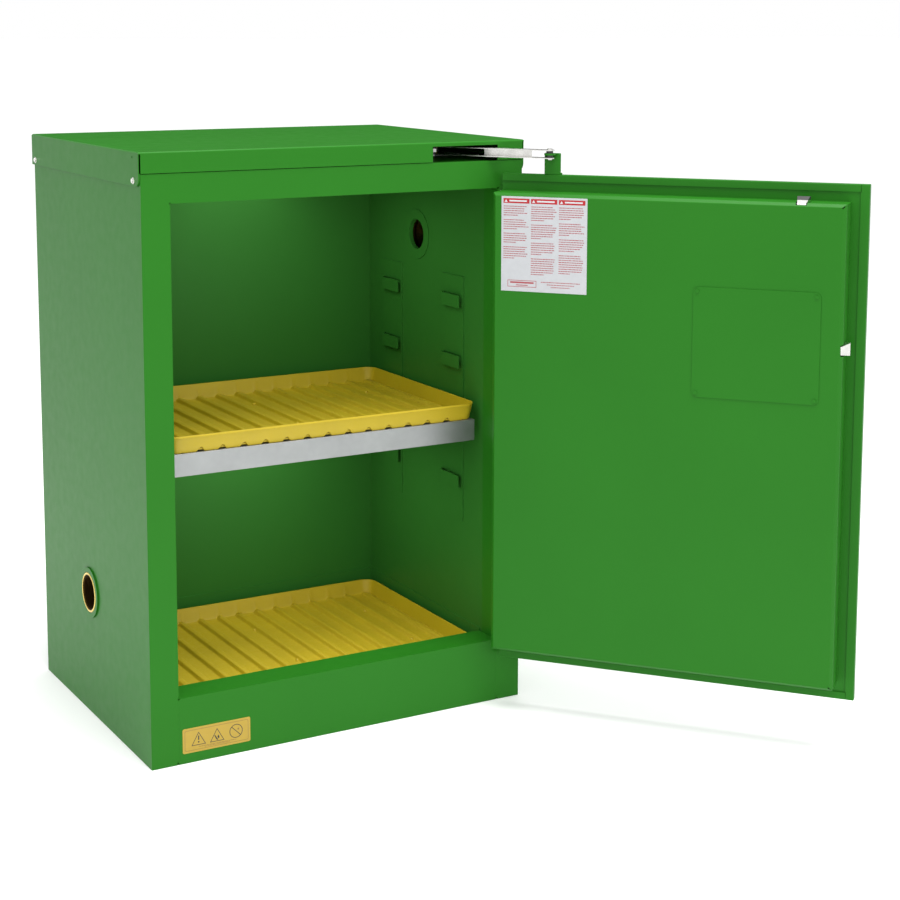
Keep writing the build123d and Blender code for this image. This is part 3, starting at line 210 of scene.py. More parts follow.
def vinyl(name, color, roughness=0.32):
    """Printed vinyl film."""
    material, tree, bsdf = new_shader(name, color, roughness)
    vector = coordinates(tree)
    tree.links.new(two_tone(tree, noise(tree, vector, 90.0, 3.0), shade(color, 0.96), shade(color, 1.02)),
                   bsdf.inputs["Base Color"])
    add_bump(tree, bsdf, noise(tree, vector, 240.0, 1.0), 0.06, 0.03 * MM)
    return material


GREEN = (0.0170, 0.144, 0.0092)
GREEN_INSIDE = (0.026, 0.146, 0.0185)
FINISH = {
    "green_outer": powder_coat("green_outer_coat", GREEN),
    "green_inner": powder_coat("green_inner_coat", GREEN_INSIDE, 0.42),
    "green_door": powder_coat("green_door_coat", GREEN, 0.38),
    "zinc": galvanised("zinc_sheet", (0.345, 0.355, 0.355)),
    "plated_steel": plated("plated_steel", (0.78, 0.77, 0.74), 0.26),
    "chrome": plated("chrome_plate", (0.82, 0.82, 0.83), 0.12),
    "brass": plated("brass_satin", (0.78, 0.56, 0.13), 0.24),
    "yellow_tray": moulded("yellow_polyethylene", (0.47, 0.345, 0.009), 0.5),
    "dark_plastic": moulded("dark_acetal", (0.03, 0.03, 0.03), 0.4),
    "white_label": vinyl("white_film", (0.44, 0.45, 0.47)),
    "yellow_label": vinyl("yellow_film", (0.40, 0.265, 0.022)),
}
INK_RED = vinyl("red_ink", (0.365, 0.004, 0.008))
INK_TEXT = vinyl("fine_red_ink", (0.32, 0.05, 0.06))
INK_WHITE = vinyl("white_ink", (0.54, 0.56, 0.58))
INK_BLACK = vinyl("black_ink", (0.016, 0.014, 0.012))
INK_BROWN = vinyl("fine_black_ink", (0.20, 0.12, 0.02))
SHADOW_BLACK = moulded("unlit_black", (0.004, 0.005, 0.004), 0.7)
# painted shade: dark brown brass for the arresters' insides, where little light reaches
SHADOW_BROWN = plated("painted_shade_brass", (0.045, 0.025, 0.007), 0.5)


# ---------------------------------------------------------------- mesh helpers
SMOOTH_ANGLE = math.radians(35)     # faces at less than this are shaded as one
SHARP_ANGLE = math.radians(28)      # edges sharper than this are bent or broken
FLAT_ANGLE = math.radians(1)
WELD = 0.004 * MM
SHEET = 1.2 * MM            # steel sheet
LEAST_BEND = 0.6 * MM       # inner radius of the tightest bend
NARROW = 1.9 * MM           # faces narrower than this are cut edges of the sheet
DETAIL = 1.0 * MM           # edges shorter than this belong to a small relief or slit
STOP = 3.0 * MM             # how far from one a rolled bend stops
LONG = 5 * STOP             # only edges longer than this are divided there
BROAD_SHARE = 0.5           # faces below this share of the widest one don't turn its normal
BEND_STEPS = 4
EDGE_STEPS = 2


def add_piece(name, mesh, body, slot, nodes=(), materials=None):
    """Makes the mesh a piece on a body, in place of the named CAD nodes."""
    piece = bpy.data.objects.new(name, mesh)
    bpy.context.scene.collection.objects.link(piece)
    for material in materials or [FINISH[slot]]:
        mesh.materials.append(material)
    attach(piece, body)
    if nodes:
        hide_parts(*nodes)
    return piece


def finish_mesh(bm, name, matrix=None):
    """Turns a bmesh into a smooth shaded mesh with crisp corners."""
    if matrix is not None:
        bm.transform(matrix)
    bmesh.ops.recalc_face_normals(bm, faces=bm.faces)
    mesh = bpy.data.meshes.new(name)
    bm.to_mesh(mesh)
    bm.free()
    mesh.shade_smooth()
    mesh.set_sharp_from_angle(angle=SMOOTH_ANGLE)
    return mesh


def settle_normals(mesh):
    """Gives each corner the normal of the widest faces about it, so that sheet stays flat beside its bends."""
    normals = [polygon.normal.copy() for polygon in mesh.polygons]
    areas = [polygon.area for polygon in mesh.polygons]
    widths = []
    about = [[] for _ in mesh.vertices]
    for polygon in mesh.polygons:
        points = [mesh.vertices[i].co for i in polygon.vertices]
        around = sum((a - b).length for a, b in zip(points, points[1:] + points[:1]))
        widths.append(width_of(polygon.area, around))
        for i in polygon.vertices:
            about[i].append(polygon.index)
    smooth = math.cos(SMOOTH_ANGLE)
    corners = []
    for polygon in mesh.polygons:
        for i in polygon.vertices:
            near = [k for k in about[i] if normals[k].dot(normals[polygon.index]) > smooth]
            widest = max([widths[k] for k in near], default=0.0)
            total = Vector()
            for k in near:
                if widths[k] > BROAD_SHARE * widest:
                    total += normals[k] * areas[k]
            corners.append(total.normalized() if total.length else normals[polygon.index])
    mesh.normals_split_custom_set(corners)


def at_detail(vert):
    """True for a vertex of a small relief, slit or facet."""
    return any(edge.calc_length() < DETAIL for edge in vert.link_edges)


def is_corner(edge):
    return len(edge.link_faces) == 2 and edge.calc_face_angle() > SHARP_ANGLE


def stop_short(bm):
    """Divides long edges a little before the small details that they run into."""
    for edge in [e for e in bm.edges if is_corner(e) and e.calc_length() > LONG]:
        for vert in list(edge.verts):
            if at_detail(vert):
                bmesh.utils.edge_split(edge, vert, STOP / edge.calc_length())


def clear_edges(bm, convex):
    """Corners that fold one way and touch no small detail."""
    return [e for e in bm.edges if is_corner(e) and e.is_convex == convex and not any(map(at_detail, e.verts))]


def width_of(area, perimeter):
    """Width of a long thin face."""
    return 2 * area / perimeter


def bevel_edges(bm, edges, offset, segments):
    if edges:
        bmesh.ops.bevel(bm, geom=edges, offset=offset, segments=segments, profile=0.5,
                        affect="EDGES", clamp_overlap=True)


def broad(edge):
    """True between two faces of the sheet, and false beside its cut edge."""
    return all(width_of(face.calc_area(), face.calc_perimeter()) > NARROW for face in edge.link_faces)


def refined(node, bend=0.0, edge=0.25 * MM, name=None, seam=None, merged=True):
    """A CAD node's own shape with rolled bends and broken edges, as a piece that stands for the node.

    seam is a height at which the faces are divided. merged joins the facets of each flat face first.
    """
    bm = bmesh.new()
    bm.from_mesh(NODES[node].data)
    bmesh.ops.remove_doubles(bm, verts=bm.verts, dist=WELD)
    if merged:
        bmesh.ops.dissolve_limit(bm, angle_limit=FLAT_ANGLE, verts=bm.verts, edges=bm.edges)
    if seam:
        everything = bm.verts[:] + bm.edges[:] + bm.faces[:]
        bmesh.ops.bisect_plane(bm, geom=everything, plane_co=(0, 0, seam), plane_no=(0, 0, 1))
    stop_short(bm)
    if bend:
        for convex, radius in ((True, bend), (False, max(bend - SHEET, LEAST_BEND))):
            bevel_edges(bm, [e for e in clear_edges(bm, convex) if broad(e)], radius, BEND_STEPS)
    stop_short(bm)
    bevel_edges(bm, clear_edges(bm, True), edge, EDGE_STEPS)
    mesh = finish_mesh(bm, node)
    settle_normals(mesh)
    return add_piece(name or node + "_shape", mesh, BODY_OF[node], SLOT_OF[node], [node])


def skin(bm, rings):
    """Joins rings of points, which all have the same count, into one solid with closed ends."""
    grid = [[bm.verts.new(p) for p in ring] for ring in rings]
    count = len(grid[0])
    for near, far in zip(grid, grid[1:]):
        for i in range(count):
            j = (i + 1) % count
            bm.faces.new((near[i], near[j], far[j], far[i]))
    bm.faces.new(grid[0][::-1])
    bm.faces.new(grid[-1])


def turned_rings(profile, centre, axis, steps):
    """Rings of points from (along, radius) pairs about an axis through centre."""
    axis = Vector(axis).normalized()
    side = axis.orthogonal().normalized()
    other = axis.cross(side)
    turns = [2 * math.pi * i / steps for i in range(steps)]
    spokes = [side * math.cos(t) + other * math.sin(t) for t in turns]
    return [[Vector(centre) + axis * along + spoke * radius for spoke in spokes] for along, radius in profile]


def lathe(bm, profile, centre, axis, steps=48):
    """A solid turned from an open outline; the ends are closed."""
    skin(bm, turned_rings(profile, centre, axis, steps))


def lathe_tube(bm, profile, centre, axis, steps=72):
    """A hollow part turned from a closed outline."""
    skin_loop(bm, turned_rings(profile, centre, axis, steps))


def skin_loop(bm, rings):
    """Joins rings of points into a surface that closes on itself both ways."""
    grid = [[bm.verts.new(p) for p in ring] for ring in rings]
    count = len(grid[0])
    for k, near in enumerate(grid):
        far = grid[(k + 1) % len(grid)]
        for i in range(count):
            j = (i + 1) % count
            bm.faces.new((near[i], near[j], far[j], far[i]))


def rounded_outline(half_x, half_y, radius, steps=6):
    """Points of a rounded rectangle, anticlockwise."""
    points = []
    for cx, cy, start in ((1, 1, 0), (-1, 1, 90), (-1, -1, 180), (1, -1, 270)):
        for i in range(steps + 1):
            turn = math.radians(start + 90 * i / steps)
            points.append((cx * (half_x - radius) + radius * math.cos(turn),
                           cy * (half_y - radius) + radius * math.sin(turn)))
    return points


# ---------------------------------------------------------------- sheet metal
BEND = 2.4 * MM             # outer radius of a press brake bend
SHARP_BEND = 1.6 * MM
TURNED_EDGE = 0.5 * MM      # chamfer of machined and cast parts
BOLT_EDGE = 0.4 * MM
DARK_REFLECTION_TIP = 4.4 * MM             # height of the top bolt's dark tip, a painted reflection of the dark surroundings in its slanted top
for node in ("outer_side_left", "outer_side_right", "outer_back_panel", "base_panel", "top_rail", "sill_panel",
             "sump_pan", "shelf_pan"):
    refined(node, bend=BEND)
for node in ("door_skin", "door_pan", "closer_bracket", "shelf_hooks"):
    refined(node, bend=SHARP_BEND)
for node in ("shelf_standards_left", "shelf_standards_right"):
    refined(node, merged=False)
for node in ("cap_cover", "latch_cover_plate", "top_deck", "inner_side_left", "inner_side_right",
             "inner_back_panel", "inner_top_panel", "closer_link", "side_strike", "top_strike",
             "hinge_leaf_frame", "hinge_leaf_door", "closer_base_plate", "latch_case", "bolt_guides",
             "fusible_link", "wall_spacers"):
    refined(node)
for node in ("vent_bungs", "vent_rings", "vent_plug", "closer_lever", "side_bolt", "side_rod", "top_rod",
             "turn_handle", "latch_cam", "latch_spindle", "closer_pivot_stud", "bracket_bushes", "lever_bushes",
             "hinge_pin", "lock_cylinder", "ground_stud", "bracket_pin", "lever_pin", "handle_plate",
             "closer_spring", "cap_screws", "cover_rivets", "plate_screws"):
    refined(node, edge=TURNED_EDGE)


def top_bolt():
    """The sprung bolt on the door's top edge, its top painted dark as a painted reflection of the dark
    surroundings.
    """
    seam = part_box("top_bolt")[1].z - DARK_REFLECTION_TIP
    bolt = refined("top_bolt", edge=BOLT_EDGE, seam=seam)
    bolt.data.materials.append(FINISH["dark_plastic"])
    # faces above the seam get the dark material: a painted reflection on the bolt's slanted top
    for face in bolt.data.polygons:
        if face.center.z > seam:
            face.material_index = 1


top_bolt()


# ---------------------------------------------------------------- flame arresters
CUP_R = 30.0 * MM           # outside of the threaded cup
BORE_R = 25.4 * MM
THREAD_R = 26.9 * MM        # bottom of the thread
THREAD_PITCH = 2.2 * MM
MOUTH = 1.4 * MM            # depth of the rolled mouth left brass; deeper in, the cup and ribbon carry painted shade
CUP_END_X = 268.0 * MM      # inner ends of the cups, from the cabinet's middle
RIBBON = 6.0 * MM           # from the crimped ribbon's outer face to the cup's end
RIBBON_THICK = 2.0 * MM
RIBBON_WAVE = 0.7 * MM
RIBBON_PITCH = 1.18 * MM
RIBBON_TURNS = 22
RIBBON_EYE_R = 0.5 * MM


def cup_profile(length):
    """Closed outline of the cup's wall, as (along, radius) pairs, with the thread on its inside."""
    outline = [(length, CUP_R - 0.4 * MM), (length - 0.4 * MM, CUP_R), (1.5 * MM, CUP_R),
               (0.5 * MM, CUP_R - 0.3 * MM), (0.05 * MM, CUP_R - 1.1 * MM), (0.0, CUP_R - 2.3 * MM),
               (0.4 * MM, CUP_R - 3.2 * MM)]
    along = MOUTH
    while along < length - RIBBON - 2.4 * MM:
        outline += [(along, THREAD_R), (along + THREAD_PITCH / 2, BORE_R + 0.1 * MM)]
        along += THREAD_PITCH
    bore = [(length - RIBBON - 1.0 * MM, BORE_R), (length - 0.4 * MM, BORE_R), (length, BORE_R + 0.4 * MM)]
    return outline + bore


def ribbon_profile(face):
    """Outline of the coiled ribbon: a zigzag out along its outer face and back along its inner one."""
    turns = [(RIBBON_WAVE * (k % 2), RIBBON_EYE_R + RIBBON_PITCH * k) for k in range(RIBBON_TURNS)]
    outside = [(face + wave, r) for wave, r in turns]
    return outside + [(face + RIBBON_THICK - wave, r) for wave, r in reversed(turns)]


def arrester(bm, centre, inward, length):
    """Threaded brass cup with a rolled mouth at centre, and a crimped ribbon coiled at its inner end. Faces
    deeper than the mouth are painted dark brown as painted shade.
    """
    first = len(bm.faces)
    lathe_tube(bm, cup_profile(length), centre, inward)
    lathe(bm, ribbon_profile(length - RIBBON), centre, inward)
    bm.faces.ensure_lookup_table()
    # faces past the mouth take the painted shade material
    for face in bm.faces[first:]:
        if (face.calc_center_median() - Vector(centre)).dot(Vector(inward)) > MOUTH:
            face.material_index = 1


def flame_arresters():
    low, high = part_box("flame_arresters")
    inlet = Vector(MOUNTS["vent_inlet"]["pos_m"])
    plug_low, plug_high = part_box("vent_plug")
    outlet = (plug_low + plug_high) / 2
    bm = bmesh.new()
    arrester(bm, (low.x, inlet.y, inlet.z), (1, 0, 0), -low.x - CUP_END_X)
    arrester(bm, (high.x, outlet.y, outlet.z), (-1, 0, 0), high.x - CUP_END_X)
    mesh = finish_mesh(bm, "flame_arresters")
    add_piece("threaded_arresters", mesh, "cabinet", "brass", ["flame_arresters"],
              [FINISH["brass"], SHADOW_BROWN])


flame_arresters()


# ---------------------------------------------------------------- drip trays
RIBS = 15
RIB_PITCH = 33.3 * MM
WALL = 2.2 * MM
DRAFT = 6.3 * MM            # how far the rim stands out beyond the foot
LEAN = 0.84 * DRAFT         # how far the wall stands out below the rim
RIM = 3.4 * MM              # height of the rolled rim
CORNER = 14.0 * MM
CORNER_STEPS = 8
FLOOR_INSET = 1.4 * MM      # from the foot's outline to the edge of the floor
UNDERSIDE = 0.25 * MM
# Half outlines from a rib's edge to its middle, in mm: the notch it makes in the wall, and its crest.
# HOLLOW is the height of the hollow below a crest's point; the other points have none.
NOTCH = ((7.0, 0.0), (5.6, 0.9), (2.4, 5.4), (1.3, 6.2))
CREST = ((8.4, 0.0), (7.5, 0.12), (6.6, 0.62), (5.9, 1.5), (4.8, 3.9), (4.1, 4.75), (3.2, 5.15),
         (0.0, 5.25))
HOLLOW = {0.0: 5.0, 3.2: 3.9, 4.1: 2.7, 4.8: 1.4, 5.9: 0.0}
# How a rib rises from the floor's edge inwards: distance in mm, and share of its height.
FADE = ((0.0, 0.0), (4.5, 0.0), (5.2, 0.35), (6.4, 0.68), (8.2, 0.9), (10.5, 1.0))
NUB = ((0, 3.4), (1.2, 3.2), (2.6, 2.4), (3.4, 1.2), (3.7, 0.3))      # height and radius in mm
NUB_RIBS = (-6, 0, 6)
NUB_OFFSET = 8.0 * MM       # from a rib's middle
NUB_Y = 81.0 * MM
NUB_SINK = 0.5 * MM


def rib_centres():
    return [(i - (RIBS - 1) / 2) * RIB_PITCH for i in range(RIBS)]


def wall_notches(half_x):
    """Places along a wall, with the height of the wall's lower edge there."""
    notch = [(-x * MM, z * MM) for x, z in NOTCH] + [(x * MM, z * MM) for x, z in reversed(NOTCH)]
    return [(c + dx, dz) for c in rib_centres() for dx, dz in notch if abs(c + dx) < half_x - CORNER]


def tray_stations(half_x, half_y):
    """Foot outline with its outward normals and the height of the rib notches along front and back."""
    edge = wall_notches(half_x)
    stations = [(x, -half_y, 0, -1, dz) for x, dz in edge]
    for cx, cy, start, run in ((1, -1, 270, []), (1, 1, 0, edge[::-1]), (-1, 1, 90, []), (-1, -1, 180, [])):
        for i in range(CORNER_STEPS + 1):
            turn = math.radians(start + 90 * i / CORNER_STEPS)
            nx, ny = math.cos(turn), math.sin(turn)
            x, y = cx * (half_x - CORNER) + CORNER * nx, cy * (half_y - CORNER) + CORNER * ny
            stations.append((x, y, nx, ny, 0.0))
        stations += [(x, half_y, 0, 1, dz) for x, dz in run]
    return stations


def wall_profile(height):
    """Closed outline of the wall and its rim: how far out of the foot, and how high."""
    bead = height - RIM
    outside = [(-0.4 * MM, 0.0), (0.3 * MM, 0.6 * MM), (LEAN, bead - 0.5 * MM), (DRAFT * 0.9, bead)]
    rim = [(DRAFT, bead + 0.6 * MM), (DRAFT, height - 0.9 * MM), (DRAFT - 0.5 * MM, height - 0.15 * MM),
           (DRAFT - 1.3 * MM, height), (DRAFT - 2.2 * MM, height - 0.4 * MM),
           (DRAFT - 2.7 * MM, height - 1.6 * MM)]
    inside = [(-1.0 * MM, WALL + 3.2 * MM), (-1.9 * MM, WALL + 1.4 * MM), (-3.4 * MM, WALL + 0.3 * MM),
              (-6.0 * MM, WALL - 0.3 * MM), (-6.0 * MM, 0.3 * MM)]
    return outside + rim + inside


def tray_wall(bm, half_x, half_y, height):
    """Drafted wall with a rolled rim, in one closed ring, cut away below where the ribs run out under it."""
    profile = wall_profile(height)
    slope = (LEAN - 0.3 * MM) / (height - RIM)
    rings = []
    for x, y, nx, ny, lift in tray_stations(half_x, half_y):
        ring = []
        for i, (out, z) in enumerate(profile):
            if lift and i < 2:
                out, z = out + slope * lift, z + lift
            elif lift and z < lift + 0.5 * MM:
                z = lift + (0.5 * MM if i < len(profile) - 1 else 0.0)
            ring.append(Vector((x + nx * out, y + ny * out, z)))
        rings.append(ring)
    skin_loop(bm, rings)


def floor_columns(half_x):
    """Places across the ribs, with the height of the crest and of the hollow below it."""
    crest = [(-x, z) for x, z in CREST] + [(x, z) for x, z in CREST[-2::-1]]
    columns = [(-half_x + FLOOR_INSET, 0.0, 0.0)]
    for c in rib_centres():
        for dx, dz in crest:
            x = c + dx * MM
            if abs(x) < half_x - 2 * MM:
                columns.append((x, dz * MM, HOLLOW.get(abs(dx), 0.0) * MM))
    columns.append((half_x - FLOOR_INSET, 0.0, 0.0))
    return columns


def tray_floor(bm, half_x, half_y):
    """Corrugated floor: rounded hollow ribs that end short of the front and back walls."""
    columns = floor_columns(half_x)
    inner_x, inner_y, radius = half_x - FLOOR_INSET, half_y - FLOOR_INSET, CORNER - FLOOR_INSET
    rows = [(d * MM - inner_y, share) for d, share in FADE] + [(0.0, 1.0)]
    rows += [(inner_y - d * MM, share) for d, share in reversed(FADE)]

    def held(x, y):
        """Keeps a point of the floor inside the rounded foot."""
        cx, cy = inner_x - radius, inner_y - radius
        dx, dy = abs(x) - cx, abs(y) - cy
        if dx > 0 and dy > 0 and math.hypot(dx, dy) > radius:
            scale = radius / math.hypot(dx, dy)
            return math.copysign(cx + dx * scale, x), math.copysign(cy + dy * scale, y)
        return x, y

    top, bottom = [], []
    for y, share in rows:
        top.append([bm.verts.new((*held(x, y), WALL + rise * share)) for x, rise, _ in columns])
        bottom.append([bm.verts.new((*held(x, y), UNDERSIDE + hollow)) for x, _, hollow in columns])
    for r in range(len(rows) - 1):
        for c in range(len(columns) - 1):
            bm.faces.new((top[r][c], top[r][c + 1], top[r + 1][c + 1], top[r + 1][c]))
            bm.faces.new((bottom[r][c], bottom[r + 1][c], bottom[r + 1][c + 1], bottom[r][c + 1]))
    for r in range(len(rows) - 1):
        bm.faces.new((top[r][0], top[r + 1][0], bottom[r + 1][0], bottom[r][0]))
        bm.faces.new((top[r][-1], bottom[r][-1], bottom[r + 1][-1], top[r + 1][-1]))
    for c in range(len(columns) - 1):
        bm.faces.new((top[0][c], bottom[0][c], bottom[0][c + 1], top[0][c + 1]))
        bm.faces.new((top[-1][c], top[-1][c + 1], bottom[-1][c + 1], bottom[-1][c]))


def drip_tray(node, name):
    """A moulded tray with a ribbed floor and small pimples beside three of its ribs."""
    low, high = part_box(node)
    half_x = (high.x - low.x) / 2 - DRAFT
    half_y = (high.y - low.y) / 2 - DRAFT
    bm = bmesh.new()
    tray_wall(bm, half_x, half_y, high.z - low.z)
    tray_floor(bm, half_x, half_y)
    nub = [(along * MM, radius * MM) for along, radius in NUB]
    for i in NUB_RIBS:
        for y in (-NUB_Y, NUB_Y):
            lathe(bm, nub, (i * RIB_PITCH - NUB_OFFSET, y, WALL - NUB_SINK), (0, 0, 1), 16)
    middle = Matrix.Translation(((low.x + high.x) / 2, (low.y + high.y) / 2, low.z))
    add_piece(name, finish_mesh(bm, name, middle), BODY_OF[node], SLOT_OF[node], [node])


drip_tray("shelf_tray", "upper_drip_tray")
drip_tray("floor_tray", "lower_drip_tray")


# ---------------------------------------------------------------- printed labels
class Print:
    """Flat artwork on a film: u to the right, v up, both in metres from the film's lower left corner."""

    lift = 0.05 * MM        # face of the ink over the film
    foot = 0.2 * lift       # back of the ink

    def __init__(self, corner, right, up):
        self.bm = bmesh.new()
        self.corner, self.right, self.up = Vector(corner), Vector(right), Vector(up)
        self.out = self.right.cross(self.up)

    def at(self, u, v, lift):
        return self.corner + self.right * u + self.up * v + self.out * lift

    def area(self, points, ink, lift=None):
        """A thin patch of ink, closed all round."""
        for ring in self.walls(points, ink, lift):
            self.bm.faces.new(ring).material_index = ink

    def walls(self, points, ink, lift=None):
        """The edge of a patch; returns its top and bottom rings."""
        top = [self.bm.verts.new(self.at(u, v, lift or self.lift)) for u, v in points]
        foot = [self.bm.verts.new(self.at(u, v, self.foot)) for u, v in points]
        for i in range(len(points)):
            j = (i + 1) % len(points)
            self.bm.faces.new((foot[i], foot[j], top[j], top[i])).material_index = ink
        return top, foot

    def band(self, outer, inner, ink):
        """A closed line between two outlines with the same number of points."""
        outside, inside = self.walls(outer, ink), self.walls(inner, ink)
        for ring, other in zip(outside, inside):
            for i in range(len(ring)):
                j = (i + 1) % len(ring)
                self.bm.faces.new((ring[i], ring[j], other[j], other[i])).material_index = ink

    def bar(self, u0, v0, u1, v1, ink, lift=None):
        self.area(rectangle(u0, v0, u1, v1), ink, lift)

    def stroke(self, start, end, width, ink):
        a, b = Vector(start), Vector(end)
        along = (b - a).normalized() * (width / 2)
        side = Vector((-along.y, along.x))
        corners = [a - along - side, b + along - side, b + along + side, a - along + side]
        self.area([tuple(p) for p in corners], ink)

    def ring(self, u, v, radius, width, ink):
        self.band(circle(u, v, radius + width / 2, 48), circle(u, v, radius - width / 2, 48), ink)

    def disc(self, u, v, radius, ink):
        self.area(circle(u, v, radius, 16), ink)

    def mesh(self, name, matrix=None):
        if matrix is not None:
            self.bm.transform(matrix)
        bmesh.ops.recalc_face_normals(self.bm, faces=self.bm.faces)
        mesh = bpy.data.meshes.new(name)
        self.bm.to_mesh(mesh)
        self.bm.free()
        return mesh


def circle(u, v, radius, steps):
    turns = [2 * math.pi * i / steps for i in range(steps)]
    return [(u + radius * math.cos(t), v + radius * math.sin(t)) for t in turns]


TRIANGLE_HEIGHT = 0.88      # of its side
TRIANGLE_MIDDLE = 0.29


def triangle(u, v, size, inset=0.0):
    """Upright triangle on the base line v; inset moves its sides inwards."""
    scale = 1 - inset / (TRIANGLE_MIDDLE * size)
    middle = v + TRIANGLE_MIDDLE * size
    points = [(u - size * 0.5, v), (u + size * 0.5, v), (u, v + size * TRIANGLE_HEIGHT)]
    return [(u + (pu - u) * scale, middle + (pv - middle) * scale) for pu, pv in points]


def rectangle(u0, v0, u1, v1, inset=0.0):
    u0, v0, u1, v1 = u0 + inset, v0 + inset, u1 - inset, v1 - inset
    return [(u0, v0), (u1, v0), (u1, v1), (u0, v1)]


def word_line(art, rng, u, v, length, height, ink):
    """A line of plain dashes in place of words."""
    end = u + length
    while u < end - 1.2 * MM:
        dash = min(rng.uniform(1.2, 4.2) * MM, end - u)
        art.bar(u, v, u + dash, v + height, ink)
        u += dash + 0.6 * MM


FILM_EDGE = 0.05 * MM
RED, TEXT, WHITE = 1, 2, 3          # inks of the door label, after its film
MARGIN = 3.0 * MM
COLUMN_GAP = 2.4 * MM
HEADING = 7.0 * MM
LINE_PITCH = 3.25 * MM
LINE_HEIGHT = 1.15 * MM
PARAGRAPH_GAP = 3.6 * MM
PARAGRAPHS = ((5, 5, 5, 6), (7, 7, 6, 8), (6, 6, 6, 9))     # lines in each paragraph of the three columns
NOTE = (10.0 * MM, 6.5 * MM, 54.0 * MM, 16.5 * MM)          # box at the foot of the label


def text_column(art, rng, u, top, column, paragraphs):
    """A red heading with a small triangle and a white bar, and paragraphs of dashes below it."""
    art.bar(u, top - HEADING, u + column, top, RED)
    art.area(triangle(u + 4.0 * MM, top - 5.6 * MM, 4.6 * MM), WHITE, 2 * art.lift)
    art.bar(u + 9.0 * MM, top - 4.6 * MM, u + column - 4.0 * MM, top - 2.4 * MM, WHITE, 2 * art.lift)
    v = top - HEADING - 4.0 * MM
    for count in paragraphs:
        for line in range(count):
            share = rng.uniform(0.35, 0.6) if line == count - 1 else rng.uniform(0.82, 1.0)
            word_line(art, rng, u + 0.4 * MM, v - LINE_HEIGHT, (column - 1 * MM) * share, LINE_HEIGHT, TEXT)
            v -= LINE_PITCH
        v -= PARAGRAPH_GAP


def foot_of_label(art, rng):
    """A boxed note with two bars, and three centred lines beside it."""
    art.band(rectangle(*NOTE), rectangle(*NOTE, inset=0.8 * MM), TEXT)
    u, v = NOTE[:2]
    art.bar(u + 4 * MM, v + 5.4 * MM, u + 40 * MM, v + 7.8 * MM, TEXT)
    art.bar(u + 13 * MM, v + 2.2 * MM, u + 31 * MM, v + 3.4 * MM, TEXT)
    for v, inset in ((14.5 * MM, 0.0), (11.0 * MM, 9 * MM), (7.5 * MM, 15 * MM)):
        word_line(art, rng, 61 * MM + inset, v, 60 * MM - 2 * inset, 1.1 * MM, TEXT)


def door_label():
    low, high = door_box("door_label")
    column = (high.x - low.x - 2 * MARGIN - 2 * COLUMN_GAP) / 3
    art = Print((high.x, high.y, low.z), (-1, 0, 0), (0, 0, 1))
    rng = random.Random(12)
    for i, paragraphs in enumerate(PARAGRAPHS):
        text_column(art, rng, MARGIN + i * (column + COLUMN_GAP), high.z - low.z - MARGIN, column, paragraphs)
    foot_of_label(art, rng)
    film = refined("door_label", edge=FILM_EDGE, name="door_label_film")
    film.data.materials[0] = FINISH["white_label"]
    inks = [FINISH["white_label"], INK_RED, INK_TEXT, INK_WHITE]
    add_piece("door_label_print", art.mesh("door_label_print", DOOR), "door", "white_label", (), inks)


BLACK, BROWN = 1, 2         # inks of the caution label, after its film
SIGN_BASE = 9.5 * MM
SIGN_SIZE = 22.0 * MM
SIGN_LINE = 0.9 * MM
BAN_V = 19.0 * MM
BAN_R = 9.6 * MM
BAN_LINE = 1.0 * MM
BAN_REACH = 6.6 * MM        # of the bar across the ring, each way


def triangle_sign(art, u):
    art.band(triangle(u, SIGN_BASE, SIGN_SIZE), triangle(u, SIGN_BASE, SIGN_SIZE, SIGN_LINE), BLACK)


def attention_sign(art, u):
    """Triangle with an upright stroke over a dot."""
    triangle_sign(art, u)
    art.bar(u - 0.9 * MM, 17 * MM, u + 0.9 * MM, 23.2 * MM, BLACK)
    art.disc(u, 14.0 * MM, 1.2 * MM, BLACK)


def spill_sign(art, u):
    """Triangle with two slanting shapes."""
    triangle_sign(art, u)
    for shape in (((-4.4, 18.6), (-2.6, 18.6), (1.6, 11.6), (-0.8, 11.6)),
                  ((0.4, 16.6), (2.6, 18.8), (3.6, 14.2), (1.4, 13.4))):
        art.area([(u + du * MM, v * MM) for du, v in shape], BLACK)


def ban_sign(art, u):
    """Ring with a slanting bar and a dot."""
    art.ring(u, BAN_V, BAN_R, BAN_LINE, BLACK)
    art.stroke((u - BAN_REACH, BAN_V + BAN_REACH), (u + BAN_REACH, BAN_V - BAN_REACH), BAN_LINE, BLACK)
    art.disc(u + 3.6 * MM, BAN_V + 2.6 * MM, 1.5 * MM, BROWN)


def caution_label():
    low, high = part_box("caution_label")
    half_u, half_v = (high.x - low.x) / 2, (high.z - low.z) / 2
    art = Print((low.x, low.y, low.z), (1, 0, 0), (0, 0, 1))
    rng = random.Random(5)
    outlines = []
    for inset in (3.1 * MM, 3.7 * MM):
        points = rounded_outline(half_u - inset, half_v - inset, 5.2 * MM - inset / 1.2, 4)
        outlines.append([(x + half_u, y + half_v) for x, y in points])
    art.band(*outlines, BROWN)
    attention_sign(art, 24 * MM)
    spill_sign(art, 52 * MM)
    ban_sign(art, 81 * MM)
    word_line(art, rng, 24 * MM, 6.6 * MM, 56 * MM, 0.8 * MM, BROWN)
    word_line(art, rng, 33 * MM, 5.0 * MM, 38 * MM, 0.7 * MM, BROWN)
    film = refined("caution_label", edge=FILM_EDGE, name="caution_label_film")
    film.data.materials[0] = FINISH["yellow_label"]
    inks = [FINISH["yellow_label"], INK_BLACK, INK_BROWN]
    add_piece("caution_label_print", art.mesh("caution_label_print"), "cabinet", "yellow_label", (), inks)


door_label()
caution_label()


# ---------------------------------------------------------------- studio
FLOOR_HALF = 120.0
FLOOR_Z = -0.0004           # just below the cabinet's base
CARD_HALF = 2.6
CARD_HEIGHT = 3.4
AIM = (0.1, 0, 0.4)         # middle of the open cabinet
BAY_LIGHT = 0.34
BAY_DROP = 12 * MM          # from the sheet above each bay down to its light


